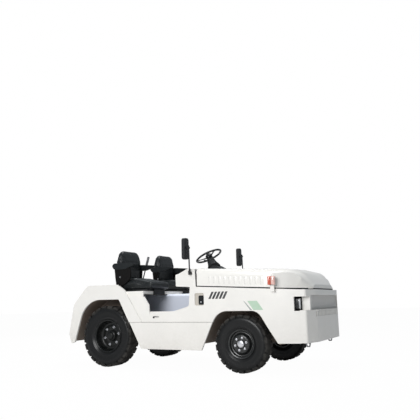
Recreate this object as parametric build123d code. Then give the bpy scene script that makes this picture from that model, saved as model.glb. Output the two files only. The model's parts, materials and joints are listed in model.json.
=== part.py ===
from build123d import *
import math
import os

# Airport baggage tug: a ballasted towing tractor with an open two-seat footwell.
# Millimetres. +X forward, +Y left, +Z up; the origin is on the ground under the middle of the length.

# Driving dimensions
wheelbase = 1980.0
frontAxleX = 925.0
rearAxleX = frontAxleX - wheelbase
bodyHalf = 780.0  # half the width over the side skins
skin = 24.0  # a folded side skin with its hem, taken as one thick wall
sheet = 16.0  # inner sheets, decks and liners
frontX = 1770.0  # front face of the bumper
taperX = frontX - 505  # the sides turn inward ahead of this
cornerX = frontX - 60  # the tapered sides end here, and the bowed front begins
cornerHalf = bodyHalf - 86
frontHalf = bodyHalf - 310  # half width of the flat middle of the front
beyond = bodyHalf + 40  # clear of the body on either side, for cuts
noseX = frontX - 130  # joint between the side panels and the nose castings
sillBottom = 248.0
seamZ = 583.0  # joint between sill and upper side panels
deckZ = 1080.0  # top of the rear fenders
floorZ = 690.0
bumperBottom = 350.0
bumperTop = 712.0
pocketX = noseX - 62  # rear wall of the headlamp pockets
pocketLow = 705.0
pocketTop = 865.0
lipZ = 880.0  # underside of the lip over the grille
pocketHalf = cornerHalf - 84  # inner wall of the headlamp pockets
grilleHalf = pocketHalf - 20
fasciaTop = 945.0
railOuter = 345.0
railInner = 285.0
railBottom = 470.0
railTop = 600.0
engineZ = 520.0
runningGap = 0.05  # radial clearance of a shaft in its bore
seat = 0.3  # gap left between a moving or soft piece and its neighbour

# Tyres: axle x, centre y, outer radius, bead radius, half section, lugs round one shoulder, lug height
frontTyre = dict(x=frontAxleX, y=685.0, radius=333.5, bead=156.0, half=95.0, lugs=22, lug=15.0)
rearTyre = dict(x=rearAxleX, y=670.0, radius=400.0, bead=206.0, half=107.5, lugs=24, lug=18.0)

kingPinY = 560.0
kingPinRadius = 16.0
spindleRadius = 26.0
rearSpindleRadius = 34.0
steeringArm = 150.0  # king pin to tie rod ball, straight back
tieRodZ = 248.0

hingeX = 341.0  # butt hinges of the hood, their pin above the gap
hingeY = 600.0
hingeZ = 1244.0
hingePin = 4.0
hoodSkin = 14.0

eyeX = frontX - 125  # lashing eyes under the bumper
eyeY = frontHalf + 5
eyeZ = 317.0
eyeBore = 14.0

steeringCentre = (-97.0, 405.0, 1500.0)
steeringRadius = 192.0
steeringTilt = 26.0  # degrees between the column and the vertical


def block(x0, x1, y0, y1, z0, z1):
    """A box between two corners."""
    return Pos((x0 + x1) / 2, (y0 + y1) / 2, (z0 + z1) / 2) * Box(x1 - x0, y1 - y0, z1 - z0)


def rod(start, end, radius):
    """A round bar from one point to another."""
    a, b = Vector(*start), Vector(*end)
    plane = Plane(origin=a, z_dir=(b - a).normalized())
    return extrude(plane * Circle(radius), (b - a).length)


def bar(start, end, radius, sides=8):
    """A straight bar of flat facets, for handles, stems and links that fit in no bore."""
    a, b = Vector(*start), Vector(*end)
    plane = Plane(origin=a, z_dir=(b - a).normalized())
    return extrude(plane * RegularPolygon(radius, sides), (b - a).length)


def outline(plane, corners):
    """A face on a plane from corners (u, v, radius)."""
    points = [(u, v) for u, v, _ in corners]
    line = plane * FilletPolyline(*points, radius=[r for _, _, r in corners], close=True)
    return make_face(line)


def sidePlate(corners, y0, y1):
    """A plate whose outline (x, z, radius) is seen from the side, between two widths."""
    plane = Plane(origin=(0, y1, 0), x_dir=(1, 0, 0), z_dir=(0, -1, 0))
    return extrude(outline(plane, corners), y1 - y0, dir=plane.z_dir)


def planPlate(corners, z0, z1):
    """A plate whose outline (x, y, radius) is seen from above, between two heights."""
    return extrude(outline(Plane.XY.offset(z0), corners), z1 - z0, dir=(0, 0, 1))


def crossPlate(corners, x0, x1):
    """A plate whose outline (y, z, radius) is seen from the front, between two lengths."""
    plane = Plane(origin=(x0, 0, 0), x_dir=(0, 1, 0), z_dir=(1, 0, 0))
    return extrude(outline(plane, corners), x1 - x0, dir=(1, 0, 0))


def turned(corners, plane):
    """A solid of revolution from corners (radius, along, fillet) round a plane's second axis."""
    points = [(r, a) for r, a, _ in corners]
    line = FilletPolyline(*points, radius=[f for _, _, f in corners], close=True)
    return plane * revolve(Plane.XY * make_face(line), Axis.Y)


def lateral(x, y, z, side):
    """A plane whose second axis points outward along the axle on one side."""
    return Plane(origin=(x, y * side, z), x_dir=(1, 0, 0), z_dir=(0, 0, side))


def mirrored(shape):
    """The same piece on the other side of the vehicle."""
    return mirror(shape, Plane.XZ)


def pair(shape):
    """A piece and its mirror image, as one node of two solids."""
    return Compound(children=[shape.solids()[0], mirrored(shape).solids()[0]])


# Body outlines


def bodyPlan(inset, z0, z1):
    """The body's outline from above, inset all round, as a block."""
    h, c, m = bodyHalf - inset, cornerHalf - inset, frontHalf - inset / 2
    rows = [
        (-1800, -h, 0),
        (taperX, -h, 0),
        (cornerX - inset, -c, max(30 - inset, 0)),
        (frontX - inset, -m, 200),
        (frontX - inset, m, 200),
        (cornerX - inset, c, max(30 - inset, 0)),
        (taperX, h, 0),
        (-1800, h, 0),
    ]
    return planPlate(rows, z0, z1)


def archRound(t, rows):
    """An arch outline from rows (ahead, above, fillet) in tyre radii, measured from the axle and the ground."""
    return [(t["x"] + u * t["radius"], v * t["radius"], r) for u, v, r in rows]


frontArchRows = [(-1.556, 0.60, 0), (-1.487, 0.747, 0), (-0.918, 2.141, 200), (0.693, 2.141, 150), (1.373, 1.035, 40), (1.544, 0.60, 0)]
rearArchRows = [(-1.463, 0.50, 0), (-1.385, 0.743, 0), (-0.940, 2.210, 340), (0.508, 2.210, 30), (1.483, 0.50, 0)]
# The wheel houses inside: the outer line of each liner and the hollow that it leaves
frontLinerRows = [(-1.604, 0.99, 0), (-1.487, 1.004, 0), (-0.974, 2.195, 210), (0.735, 2.195, 160), (1.424, 1.05, 0), (1.424, 0.99, 0)]
frontHouseRows = [(-1.634, 0.60, 0), (-1.541, 0.747, 0), (-0.924, 2.147, 200), (0.699, 2.147, 150), (1.379, 1.04, 40), (1.55, 0.60, 0)]
rearLinerRows = [(-1.418, 0.825, 0), (-0.98, 2.255, 355), (0.53, 2.255, 35), (1.238, 1.0, 0), (1.238, 0.825, 0)]
rearHouseRows = [(-1.463, 0.50, 0), (-1.38, 0.743, 0), (-0.938, 2.215, 340), (0.505, 2.215, 30), (1.48, 0.50, 0)]
frontArch = archRound(frontTyre, frontArchRows)
rearArch = archRound(rearTyre, rearArchRows)


def bodySide(corners, inner, archCut=None, inset=0.0):
    """One side's skin: the body wall cut to an outline (x, z, radius), right side."""
    wall = bodyPlan(inset, 150, 1300) - bodyPlan(inset + skin, 140, 1310)
    piece = wall & sidePlate(corners, -bodyHalf - 5, -inner)
    if archCut:
        piece = piece - sidePlate(archCut, -bodyHalf - 10, -inner + 10)
    return piece


def sidePanels():
    rows = [
        (-352, seamZ + 2, 0),
        (-352, 717, 12),
        (19, 719, 60),
        (236, 779, 40),
        (253, 1014 - seat, 0),
        (345, 1014 - seat, 0),
        (noseX, fasciaTop + 0.5, 0),
        (noseX, 347, 0),
        (1383, 345, 0),
        (560, seamZ + 2, 0),
    ]
    panel = bodySide(rows, 600, frontArch)
    pocket = block(pocketX, frontX + 30, -beyond, -pocketHalf, pocketLow, pocketTop)
    latch = sidePlate([(322, 785, 20), (450, 785, 20), (450, 935, 20), (322, 935, 20)], -790, -770)
    return pair(panel - pocket - latch)


def sills():
    rows = [(-485, sillBottom, 0), (406, sillBottom, 0), (560, seamZ - 2, 0), (-673, seamZ - 2, 0)]
    plate = sidePlate(rows, -bodyHalf, -bodyHalf + skin)
    return pair(plate)


def seatSidePanels():
    rows = [
        (-475, seamZ + 2, 0),
        (-354, seamZ + 2, 0),
        (-366, 800, 30),
        (-445, 912, 20),
        (-706, 928, 0),
    ]
    return pair(sidePlate(rows, -bodyHalf + 8, -bodyHalf + skin))


fenderOutline = [
    (-1662, 296, 15),
    (-1709, 422, 60),
    (-1636, 830, 60),
    (-1400, deckZ, 110),
    (-880, deckZ, 50),
    (-765, 1011, 60),
    (-477, seamZ + 2, 0),
    (-700, seamZ + 2, 0),
]


def rearFenders():
    plate = sidePlate(fenderOutline, -bodyHalf, -bodyHalf + skin)
    return pair(plate - sidePlate(rearArch, -bodyHalf - 10, -bodyHalf + 60))


def rearDeck():
    """One bent sheet: sloping rear face, deck and the drop behind the seats."""
    half = bodyHalf - skin
    rows = [
        (-1706, 440, 0),
        (-1636, 830, 60),
        (-1400, deckZ, 110),
        (-1000.3, deckZ, 12),
        (-1000.3, 940, 0),
        (-1000.3 - sheet, 940, 0),
        (-1000.3 - sheet, deckZ - sheet, 0),
        (-1394, deckZ - sheet, 95),
        (-1620, 824, 45),
        (-1690, 440, 0),
    ]
    return sidePlate(rows, -half, half) - block(-1800, -1600, -150, 150, 400, 500)


def seatBox():
    """Platform that carries both seats: a folded sheet on the tunnel and the wheel houses."""
    wing, top, low = bodyHalf - skin - seat, 985.0, 902.0 + seat
    rows = [(-wing, low, 0), (-wing, top, 12), (wing, top, 12), (wing, low, 0)]
    t = sheet
    core = [(-wing + t, low - 5, 0), (-wing + t, top - t, 0), (wing - t, top - t, 0), (wing - t, low - 5, 0)]
    folded = crossPlate(rows, -1000, -470) - crossPlate(core, -1000 + t, -470 - t)
    folded = folded - block(-486.5, -469, -wing + t, wing - t, low - 5, tunnelTop + seat)
    for side in (-1, 1):
        y0, y1 = sorted((side * 150, side * 166))
        folded = folded + block(-985, -480, y0, y1, tunnelTop + seat, top - 4)
    return folded


tunnelTop = 944.0


def tunnel():
    """Cover over the drive line, from behind the seats to the firewall."""
    half, t = 190.0, 14.0
    rows = [(-half, floorZ, 0), (-half, tunnelTop, 40), (half, tunnelTop, 40), (half, floorZ, 0)]
    core = [(-half + t, floorZ - 5, 0), (-half + t, tunnelTop - t, 26), (half - t, tunnelTop - t, 26), (half - t, floorZ - 5, 0)]
    box = crossPlate(rows, -998, 290) - crossPlate(core, -1005, 295)
    ahead = sidePlate([(281, floorZ, 0), (255, 1014, 0), (400, 1014, 0), (400, floorZ - 10, 0)], -300, 300)
    lip = block(-1001, -984 + seat, -300, 300, 900, 960)
    return box - ahead - lip


def floorPlate():
    half = bodyHalf - skin
    return block(-1000, 281, -400, 400, floorZ - sheet, floorZ) + block(-469, 281, -half, half, floorZ - sheet, floorZ)


def firewall():
    """Cross wall ahead of the feet, with its sloping toe board."""
    rows = [
        (281, railTop, 0),
        (281, floorZ, 0),
        (256, 1014, 0),
        (272, 1014, 0),
        (297, floorZ, 0),
        (297, railTop, 0),
    ]
    half = bodyHalf - skin
    return sidePlate(rows, -half, half)


cowlOutline = [
    (250, 1014, 0),
    (51, 1026, 15),
    (45, 1172, 12),
    (93, 1183, 20),
    (225, 1244, 30),
    (326, 1236, 5),
    (340, 1014, 0),
]


def cowl():
    """Cap between hood and footwell: side cheeks, sloping top and dash face."""
    core = [
        (400, 1000, 0),
        (67, 1000, 0),
        (61, 1158, 0),
        (97, 1166, 0),
        (229, 1227, 0),
        (400, 1219, 0),
    ]
    cheek = bodyHalf - 18
    cap = sidePlate(cowlOutline, -bodyHalf, bodyHalf) - sidePlate(core, -cheek, cheek)
    for side in (-1, 1):
        y = hingeY * side
        for offset in (-23, 23):
            leaf = [(285, 1236, 0), (285, 1243, 0), (335, 1243, 0), (335, 1234, 0)]
            cap = cap + sidePlate(leaf, y + offset - 7, y + offset + 7)
            cap = cap + bar((hingeX, y + offset - 7, hingeZ), (hingeX, y + offset + 7, hingeZ), 8, 6)
        cap = cap + bar((hingeX, y - 16, hingeZ), (hingeX, y + 16, hingeZ), hingePin)
    return cap


def frontFascia():
    """Band round the nose above the bumper: top lip, grille recess and lamp pockets."""
    wall = bodyPlan(0, bumperTop + seat, fasciaTop) - bodyPlan(40, bumperTop - 5, fasciaTop + 5)
    wall = wall & block(noseX + seat, frontX + 30, -beyond, beyond, 600, 1000)
    window = block(1600, frontX + 30, -grilleHalf, grilleHalf, bumperTop - 5, lipZ)
    lip = bodyPlan(0, lipZ, fasciaTop) & block(noseX + seat, frontX + 30, -beyond, beyond, 800, 1000)
    recess = block(1640, 1700, -640, 640, fasciaTop - 40, fasciaTop - 16)
    fascia = wall - window + lip - recess
    for side in (-1, 1):
        y0, y1 = sorted((pocketHalf * side, beyond * side))
        fascia = fascia - block(1500, frontX + 30, y0, y1, pocketLow, pocketTop)
        y0, y1 = sorted((grilleHalf * side, pocketHalf * side))
        fascia = fascia + (block(noseX + seat, frontX - 5, y0, y1, bumperTop + seat, lipZ + 5) & bodyPlan(0, 600, 1000))
    return fascia


def frontGrille():
    """Ribbed plate set back in the nose."""
    half, low, high = grilleHalf - seat, bumperTop + seat, lipZ - seat
    plate = block(frontX - 80, frontX - 68, -half, half, low, high)
    pitch = 43.0
    count = int(half / pitch - 0.2) * 2 + 1
    for k in range(count):
        y = (k - (count - 1) / 2) * pitch
        rib = block(frontX - 68, frontX - 48, y - 7, y + 7, low, high)
        plate = plate + rib
    return plate


def frontBumper():
    """Cast ballast across the front, with a row of ribs along its top edge."""
    body = bodyPlan(0, bumperBottom, bumperTop) & block(noseX + seat, frontX + 30, -beyond, beyond, 300, 800)
    hollow = block(noseX - 5, frontX - 80, 40 - frontHalf, frontHalf - 40, bumperBottom - 5, bumperTop - 40)
    body = body - hollow
    for k in range(17):
        y = (k - 8) * 60
        body = body - block(frontX - 20, frontX + 20, y - 14, y + 14, bumperTop - 76, bumperTop + 5)
    return body


# Half sections of the hood: x, then (share of the half width, z) of its lower edge, the top of its
# side, the foot and the top of the shoulder that runs on as the edge of the raised middle, and the crown
hoodRearX = 350.0
hoodHalf = bodyHalf - 1
hoodSections = [
    (hoodRearX, (1.0, 1019), (1.0, 1196), (0.978, 1227), (0.927, 1240), (0, 1254)),
    (taperX, (1.0, 973), (1.0, 1150), (0.978, 1181), (0.927, 1194), (0, 1214)),
    (frontX - 370, (0.960, 963), (0.950, 1146), (0.886, 1176), (0.824, 1194), (0, 1212)),
    (frontX - 270, (0.901, 960), (0.879, 1144), (0.732, 1166), (0.661, 1188), (0, 1200)),
    (frontX - 196, (0.834, 957), (0.777, 1134), (0.616, 1148), (0.549, 1170), (0, 1177)),
    (frontX - 133, (0.757, 956), (0.738, 1082), (0.571, 1108), (0.503, 1132), (0, 1138)),
    (frontX - 74, (0.657, 955), (0.650, 990), (0.552, 1024), (0.483, 1050), (0, 1055)),
    (frontX - 42, (0.560, 954), (0.555, 966), (0.529, 984), (0.465, 1004), (0, 1008)),
]
hoodFall = 46.0  # drop of the hood's lower edge from its rear to the taper
louvreCount = 11
louvrePitch = 68.0


def hoodForm(inset, drop):
    """The hood's outer form, or the hollow a skin's thickness inside it and open below.
    Every strip between two sections is made of flat facets."""
    rings = []
    for x, edge, side, foot, shoulder, crown in hoodSections:
        if inset:
            x = {hoodSections[0][0]: x - inset, hoodSections[-1][0]: x - inset}.get(x, x)
        half = [
            (edge[0] * hoodHalf - inset, edge[1] - drop),
            (side[0] * hoodHalf - inset, side[1] - inset * 0.4),
            (foot[0] * hoodHalf - inset * 0.7, foot[1] - inset * 0.9),
            (shoulder[0] * hoodHalf - inset * 0.4, shoulder[1] - inset),
            (crown[0], crown[1] - inset),
        ]
        rings.append([Vector(x, y, z) for y, z in half + [(-y, z) for y, z in half[-2::-1]]])
    faces = []

    def polygon(*points):
        faces.append(Face(Wire.make_polygon(points, close=True)))

    polygon(*rings[0])
    polygon(*rings[-1])
    for a, b in zip(rings, rings[1:]):
        for i in range(len(a)):
            j = (i + 1) % len(a)
            flat = abs((a[j] - a[i]).cross(b[i] - a[i]).normalized().dot(b[j] - a[i])) < 1e-4
            if flat:
                polygon(a[i], a[j], b[j], b[i])
            elif i < len(a) // 2:
                polygon(a[i], a[j], b[j])
                polygon(a[i], b[j], b[i])
            else:
                polygon(a[i], a[j], b[i])
                polygon(a[j], b[j], b[i])
    return Solid(Shell(faces))


def hood():
    """Sheet hood with a row of upright louvre slots in each side."""
    shell = hoodForm(0, 0) - hoodForm(hoodSkin, 20)
    for k in range(louvreCount):
        x = 540 + louvrePitch * k
        z = 1091 - hoodFall / (taperX - hoodRearX) * (x - 540)
        shell = shell - block(x - 7, x + 7, -bodyHalf - 20, bodyHalf + 20, z - 46, z + 46)
    for side in (-1, 1):
        y = hingeY * side
        leaf = sidePlate([(343, 1238, 0), (343, 1246, 0), (395, 1243, 0), (395, 1232, 0)], y - 15, y + 15)
        barrel = bar((hingeX, y - 15, hingeZ), (hingeX, y + 15, hingeZ), 8, 6)
        shell = shell + leaf + barrel
        shell = shell - rod((hingeX, y - 16, hingeZ), (hingeX, y + 16, hingeZ), hingePin + runningGap)
    return shell


def engineBlock():
    return block(480, 1180, -210, 210, engineZ, 1060)


def radiator():
    half = railInner - seat
    return block(noseX - 190, noseX - 100, -half, half, 500, 1080)


def frame():
    """Two rails, cross members, spring hangers and the plate that carries the coupling."""
    whole = block(-1656, -1632, -railOuter, railOuter, 300, railTop)
    for side in (-1, 1):
        low, high = sorted((side * railInner, side * railOuter))
        whole = whole + block(-1640, noseX, low, high, railBottom, railTop)
        for end in (-1, 1):
            x = frontAxleX + end * 380
            whole = whole + block(x - 20, x + 20, low, high, 442 + seat, railBottom)
    for x in (-600, 250, noseX - 240, noseX - 40):
        whole = whole + block(x - 30, x + 30, -railInner - 5, railInner + 5, railBottom, railTop)
    for x in (560, 1100):
        whole = whole + block(x - 30, x + 30, -railInner - 5, railInner + 5, railBottom, engineZ)
    return whole


def frontArchLiner():
    """Wheel house: an arched band with an inner wall."""
    inner = 372.0
    band = sidePlate(archRound(frontTyre, frontLinerRows), -bodyHalf + skin + seat, -inner)
    hollow = sidePlate(archRound(frontTyre, frontHouseRows), -bodyHalf, -inner - 12)
    window = block(frontAxleX - 90, frontAxleX + 90, -inner - 50, -inner + 50, 200, 460)
    shell = (band - hollow - window) & bodyPlan(skin + seat, 150, 1300)
    return shell.solids().sort_by(SortBy.VOLUME)[-1]


def rearArchLiner():
    inner = 440.0
    band = sidePlate(archRound(rearTyre, rearLinerRows), -bodyHalf + skin + seat, -inner)
    hollow = sidePlate(archRound(rearTyre, rearHouseRows), -bodyHalf, -inner - 12)
    window = block(rearAxleX - 75, rearAxleX + 75, -inner - 50, -inner + 50, 200, 480)
    return (band - hollow - window).solids().sort_by(SortBy.VOLUME)[-1]


springSeatZ = 378.0


def leafSprings():
    """Leaf packs between the front rails and the axle beam, three leaves each."""
    pack = None
    plane = Plane(origin=(frontAxleX, -railInner, springSeatZ), x_dir=(1, 0, 0), z_dir=(0, -1, 0))
    for length, base in ((395, 22), (285, 11), (175, 0.3)):
        lift = 31.0 * (length / 395) ** 2
        top = [(-length, lift + base + 11), (0, base + 11), (length, lift + base + 11)]
        low = [(length, lift + base), (0, base), (-length, lift + base)]
        edge = [ThreePointArc(*top), Line(top[2], low[0]), ThreePointArc(*low), Line(low[2], top[0])]
        leaf = extrude(plane * make_face(edge), railOuter - railInner, dir=(0, -1, 0))
        pack = leaf if pack is None else pack + leaf
    return pair(pack)


def frontAxleBeam():
    z = 333.5
    beam = crossPlate(
        [
            (-520, z - 34, 0),
            (-430, z - 70, 0),
            (430, z - 70, 0),
            (520, z - 34, 0),
            (520, z + 34, 0),
            (400, z + 20, 0),
            (380, z + 44, 0),
            (250, z + 44, 0),
            (230, z + 0, 0),
            (-230, z + 0, 0),
            (-250, z + 44, 0),
            (-380, z + 44, 0),
            (-400, z + 20, 0),
            (-520, z + 34, 0),
        ],
        frontAxleX - 34,
        frontAxleX + 34,
    )
    for s in (-1, 1):
        y = kingPinY * s
        beam = beam + block(frontAxleX - 30, frontAxleX + 30, min(y, 500 * s), max(y, 500 * s), z - 32, z + 32)
        beam = beam + bar((frontAxleX, y, z - 32), (frontAxleX, y, z + 32), 34, 16)
        beam = beam - rod((frontAxleX, y, z - 80), (frontAxleX, y, z + 80), kingPinRadius + runningGap)
    return beam


def knuckle(side):
    """Fork round the beam's end with its king pin, stub axle and steering arm."""
    z = 333.5
    y = kingPinY * side
    ears = None
    for z0, z1 in ((z - 62, z - 33), (z + 33, z + 62)):
        rows = [(-32, 60, 0), (32, 60, 0), (32, -14, 0), (16, -32, 0), (-16, -32, 0), (-32, -14, 0)]
        ear = planPlate([(frontAxleX + u, y + v * side, f) for u, v, f in rows], z0, z1)
        ears = ear if ears is None else ears + ear
    low, high = sorted((y + 42 * side, y + 60 * side))
    web = block(frontAxleX - 32, frontAxleX + 32, low, high, z - 62, z + 62)
    pin = rod((frontAxleX, y, z - 33), (frontAxleX, y, z + 33), kingPinRadius)
    stub = rod((frontAxleX, y + 50 * side, z), (frontAxleX, y + 190 * side, z), spindleRadius)
    ballX = frontAxleX - steeringArm
    arm = block(ballX, frontAxleX, y - 16, y + 16, z - 62, z - 44)
    eye = bar((ballX, y, z - 62), (ballX, y, z - 44), 22, 12)
    ball = rod((ballX, y, tieRodZ - 14), (ballX, y, z - 60), 9)
    return ears + web + pin + stub + arm + eye + ball


def tieRod():
    ballX = frontAxleX - steeringArm
    link = bar((ballX, -kingPinY, tieRodZ), (ballX, kingPinY, tieRodZ), 13)
    for side, gap in ((-1, 0.6), (1, runningGap)):
        y = kingPinY * side
        link = link + bar((ballX, y, tieRodZ - 15), (ballX, y, tieRodZ + 15), 22, 12)
        link = link - rod((ballX, y, tieRodZ - 40), (ballX, y, tieRodZ + 40), 9 + gap)
    return link


def rearAxle():
    """Drive axle: tube, differential housing, brake drums, stub ends and the pads under the rails."""
    z = rearTyre["radius"]
    rows = [(45, -140), (150, -50), (150, 50), (45, 140)]
    middle = dict(x=rearAxleX, y=0, radius=z)
    axle = facetRing(lambda k: rows, 16, wheelPlace(middle, 1, 16))
    axle = axle + bar((rearAxleX, -545, z), (rearAxleX, 545, z), 57, 16)
    for side in (-1, 1):
        axle = axle + bar((rearAxleX, side * 470, z), (rearAxleX, side * 545, z), 138, 24)
        axle = axle + rod((rearAxleX, side * 545, z), (rearAxleX, side * 690, z), rearSpindleRadius)
        low, high = sorted((side * railInner, side * railOuter))
        axle = axle + block(rearAxleX - 50, rearAxleX + 50, low, high, z + 20, railBottom)
    return axle


def facetRing(profileAt, steps, place, lugRows=()):
    """A closed ring of flat facets. profileAt(k) lists (radius, along) corners for step k."""
    faces = []

    def polygon(points):
        faces.append(Face(Wire.make_polygon(points, close=True)))

    for k in range(steps):
        now, before = profileAt(k), profileAt(k - 1)
        n = len(now)
        for i in range(n):
            j = (i + 1) % n
            polygon([place(now[i], k), place(now[j], k), place(now[j], k + 1), place(now[i], k + 1)])
        for i in lugRows:
            polygon([place(now[i + m], k) for m in range(4)] + [place(before[i + m], k) for m in (2, 1)])
    return Solid(Shell(faces))


def wheelPlace(t, side, steps):
    """Maps a (radius, outward) corner at one step to its place round a wheel's axle."""

    def place(p, k):
        a = 2 * math.pi * k / steps
        x = t["x"] + p[0] * math.cos(a)
        z = t["radius"] + p[0] * math.sin(a)
        return Vector(x, side * (t["y"] + p[1]), z)

    return place


def lugTyre(t, side):
    """A lugged tyre: shoulder lugs alternate from one side to the other beside a low middle rib."""
    rad, bead, half, lug = t["radius"], t["bead"], t["half"], t["lug"]
    steps = t["lugs"] * 2

    def shoulder(up):
        top = rad if up else rad - lug
        return [
            (bead, 0.66 * half),
            ((rad + bead) / 2, half),
            (rad - lug - 22, 0.95 * half),
            (top - 4, 0.86 * half),
            (top, 14.0),
            (rad - lug / 2, 8.0),
        ]

    def profile(k):
        left = [(r, -w) for r, w in shoulder(k % 2 == 0)]
        right = [(r, w) for r, w in shoulder(k % 2 == 1)]
        return left + right[::-1]

    return facetRing(profile, steps, wheelPlace(t, side, steps), lugRows=(2, 6))


def rimSeat(t):
    """Rim radius under the tyre's flat facets, and the flange's start and rise along the sidewall."""
    radius = t["bead"] * math.cos(math.pi / t["lugs"] / 2) - seat
    start = 0.66 * t["half"] + 0.6
    rise = 0.34 * t["half"] / ((t["radius"] - t["bead"]) / 2) * 13
    return radius, start, rise


def pressedWheel(t, side, rows, hubRadius, hubInner, hubOuter, bore, boreEnd):
    """Rim and disc as a faceted ring, joined to a round hub that is bored for its stub axle."""
    steps = t["lugs"]
    ring = facetRing(lambda k: rows, steps, wheelPlace(t, side, steps))
    x, y, z = t["x"], t["y"], t["radius"]
    hub = bar((x, side * (y + hubInner), z), (x, side * (y + hubOuter), z), hubRadius, 16)
    return ring + hub - rod((x, side * (y + hubInner - 1), z), (x, side * (y + boreEnd), z), bore)


def frontWheel(side):
    """Pressed wheel whose disc lies near its outer side."""
    r, a, rise = rimSeat(frontTyre)
    rows = [
        (r, -70),
        (r, a),
        (r + 13, a + rise),
        (r + 13, a + rise + 4),
        (r - 6, a + rise + 4),
        (118, 50),
        (98, 86),
        (48, 86),
        (48, 74),
        (92, 74),
        (110, 38),
        (r - 12, 44),
        (r - 8, -70),
    ]
    return pressedWheel(frontTyre, side, rows, 52, -40, 98, spindleRadius + runningGap, 84)


def rearWheel(side):
    """Deep dished wheel with the drive hub standing through it."""
    r, a, rise = rimSeat(rearTyre)
    rows = [
        (r, -84),
        (r, a),
        (r + 13, a + rise),
        (r + 13, a + rise + 4),
        (r - 6, a + rise + 4),
        (r - 22, -16),
        (90, -24),
        (62, -24),
        (62, -38),
        (r - 26, -34),
        (r - 9, -84),
    ]
    return pressedWheel(rearTyre, side, rows, 70, -70, 34, rearSpindleRadius + runningGap, 26)


def steeringPlane():
    a = math.radians(steeringTilt)
    up = Vector(-math.sin(a), 0, math.cos(a))
    return Plane(origin=steeringCentre, x_dir=(0, 1, 0), z_dir=up)


def steeringWheel():
    """Rim of six flats, three flat spokes and a round hub."""
    steps, tube = 28, 13.0
    rows = [(steeringRadius + tube * math.cos(c), tube * math.sin(c)) for c in [math.pi / 3 * k for k in range(6)]]

    def place(p, k):
        a = 2 * math.pi * k / steps
        return Vector(p[0] * math.cos(a), p[0] * math.sin(a), p[1])

    wheel = facetRing(lambda k: rows, steps, place)
    wheel = wheel + bar((0, 0, -32), (0, 0, 14), 46, 16)
    for deg in (90, 210, 330):
        wheel = wheel + Rot(0, 0, deg) * (Pos(110, 0, -6) * Box(150, 26, 8))
    return steeringPlane() * wheel


def steeringColumn():
    plane = steeringPlane()
    return plane * bar((0, 0, -345), (0, 0, -32 - seat), 24, 12)


def binnacle():
    """Instrument hood on the dash, rising round the steering column."""
    rows = [(52, 1160, 0), (20, 1215, 20), (-24, 1330, 20), (56, 1352, 30), (250, 1246, 10), (300, 1200, 0)]
    body = sidePlate(rows, 300, 510)
    cap = sidePlate(cowlOutline, -bodyHalf, bodyHalf)
    bore = steeringPlane() * (Pos(0, 0, -345) * Cylinder(24 + seat, 345, align=(Align.CENTER, Align.CENTER, Align.MIN)))
    return (body - cap - bore).solids().sort_by(SortBy.VOLUME)[-1]


def pedals():
    solids = []
    for y, w in ((300, 60), (405, 80), (510, 60)):
        arm = bar((257, y, 900), (190, y, 800), 9)
        pad = Pos(178, y, 780) * Rot(0, 55, 0) * Box(80, w, 14)
        solids.append((arm + pad).solids()[0])
    return Compound(children=solids)


seatInner, seatOuter = 232.0, 690.0  # widths between which each seat lies
baseTop = 1010.0


def seatCushions():
    rows = [
        (-925, 1042, 12),
        (-860, baseTop + seat, 20),
        (-398, baseTop + seat, 30),
        (-392, 1098, 36),
        (-480, 1116, 60),
        (-690, 1166, 60),
        (-888, 1172, 6),
        (-893, 1147, 0),
        (-925, 1146, 4),
    ]
    return pair(sidePlate(rows, -seatOuter, -seatInner))


def seatBacks():
    """Backs that lean a little, with the top corners cut to a taper."""
    rows = [(-985, 1152, 40), (-895, 1152, 10), (-868, 1400, 60), (-900, 1552, 30), (-955, 1552, 30), (-1000, 1330, 60)]
    slab = sidePlate(rows, -seatOuter, -seatInner)
    middle = -(seatOuter + seatInner) / 2
    half = (seatOuter - seatInner) / 2
    face = [
        (middle - half, 1140, 0),
        (middle + half, 1140, 0),
        (middle + half, 1390, 60),
        (middle + half - 34, 1554, 95),
        (middle - half + 34, 1554, 95),
        (middle - half, 1390, 60),
    ]
    return pair(slab & crossPlate(face, -1100, -800))


def seatBases():
    """Slide bases under the cushions, with the cover that hangs before the platform."""
    base = block(-870, -470.3, -660, -262, 985, baseTop)
    cover = block(-469.7, -452, -520, -262, 930, baseTop)
    return pair(base + cover + block(-471, -452, -520, -262, 990, baseTop))


def hipRestraints():
    """Padded wings beside each back, on legs that stand on the slide bases."""
    solids = []
    inner, outer = seatInner - 18 - seat, seatOuter + 18 + seat
    for y in (-outer, -inner, inner, outer):
        rows = [
            (-940, 1056, 0),
            (-880, 1050, 0),
            (-790, 1092, 0),
            (-718, 1147, 0),
            (-702, 1236, 0),
            (-722, 1312, 0),
            (-650, 1338, 0),
            (-640, 1356, 0),
            (-860, 1374, 0),
            (-990, 1374, 28),
            (-1019, 1335, 28),
            (-978, 1286, 0),
            (-962, 1172, 0),
        ]
        solids.append(sidePlate(rows, y - 18, y + 18).solids()[0])
    return Compound(children=solids)


def controlLevers():
    foot = tunnelTop
    lever = bar((-250, 60, foot + 6), (-290, 60, 1120), 8) + bar((-288, 60, 1110), (-296, 60, 1150), 20)
    lever = lever + block(-290, -210, 30, 90, foot, foot + 12)
    brake = bar((-120, -60, foot + 6), (-180, -60, 1100), 9) + bar((-180, -60, 1095), (-195, -60, 1150), 15)
    brake = brake + block(-170, -90, -85, -35, foot, foot + 12)
    return Compound(children=[lever.solids()[0], brake.solids()[0]])


def releaseLever():
    foot = Vector(-1034, 0, deckZ + 6)
    lean = (Vector(-907, 0, 1506) - foot).normalized()
    stem = bar(foot, foot + lean * 400, 9)
    grip = bar(foot + lean * 318, foot + lean * 440, 17)
    return stem + grip + block(foot.X - 40, foot.X + 40, -40, 40, deckZ, deckZ + 12)


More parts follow.
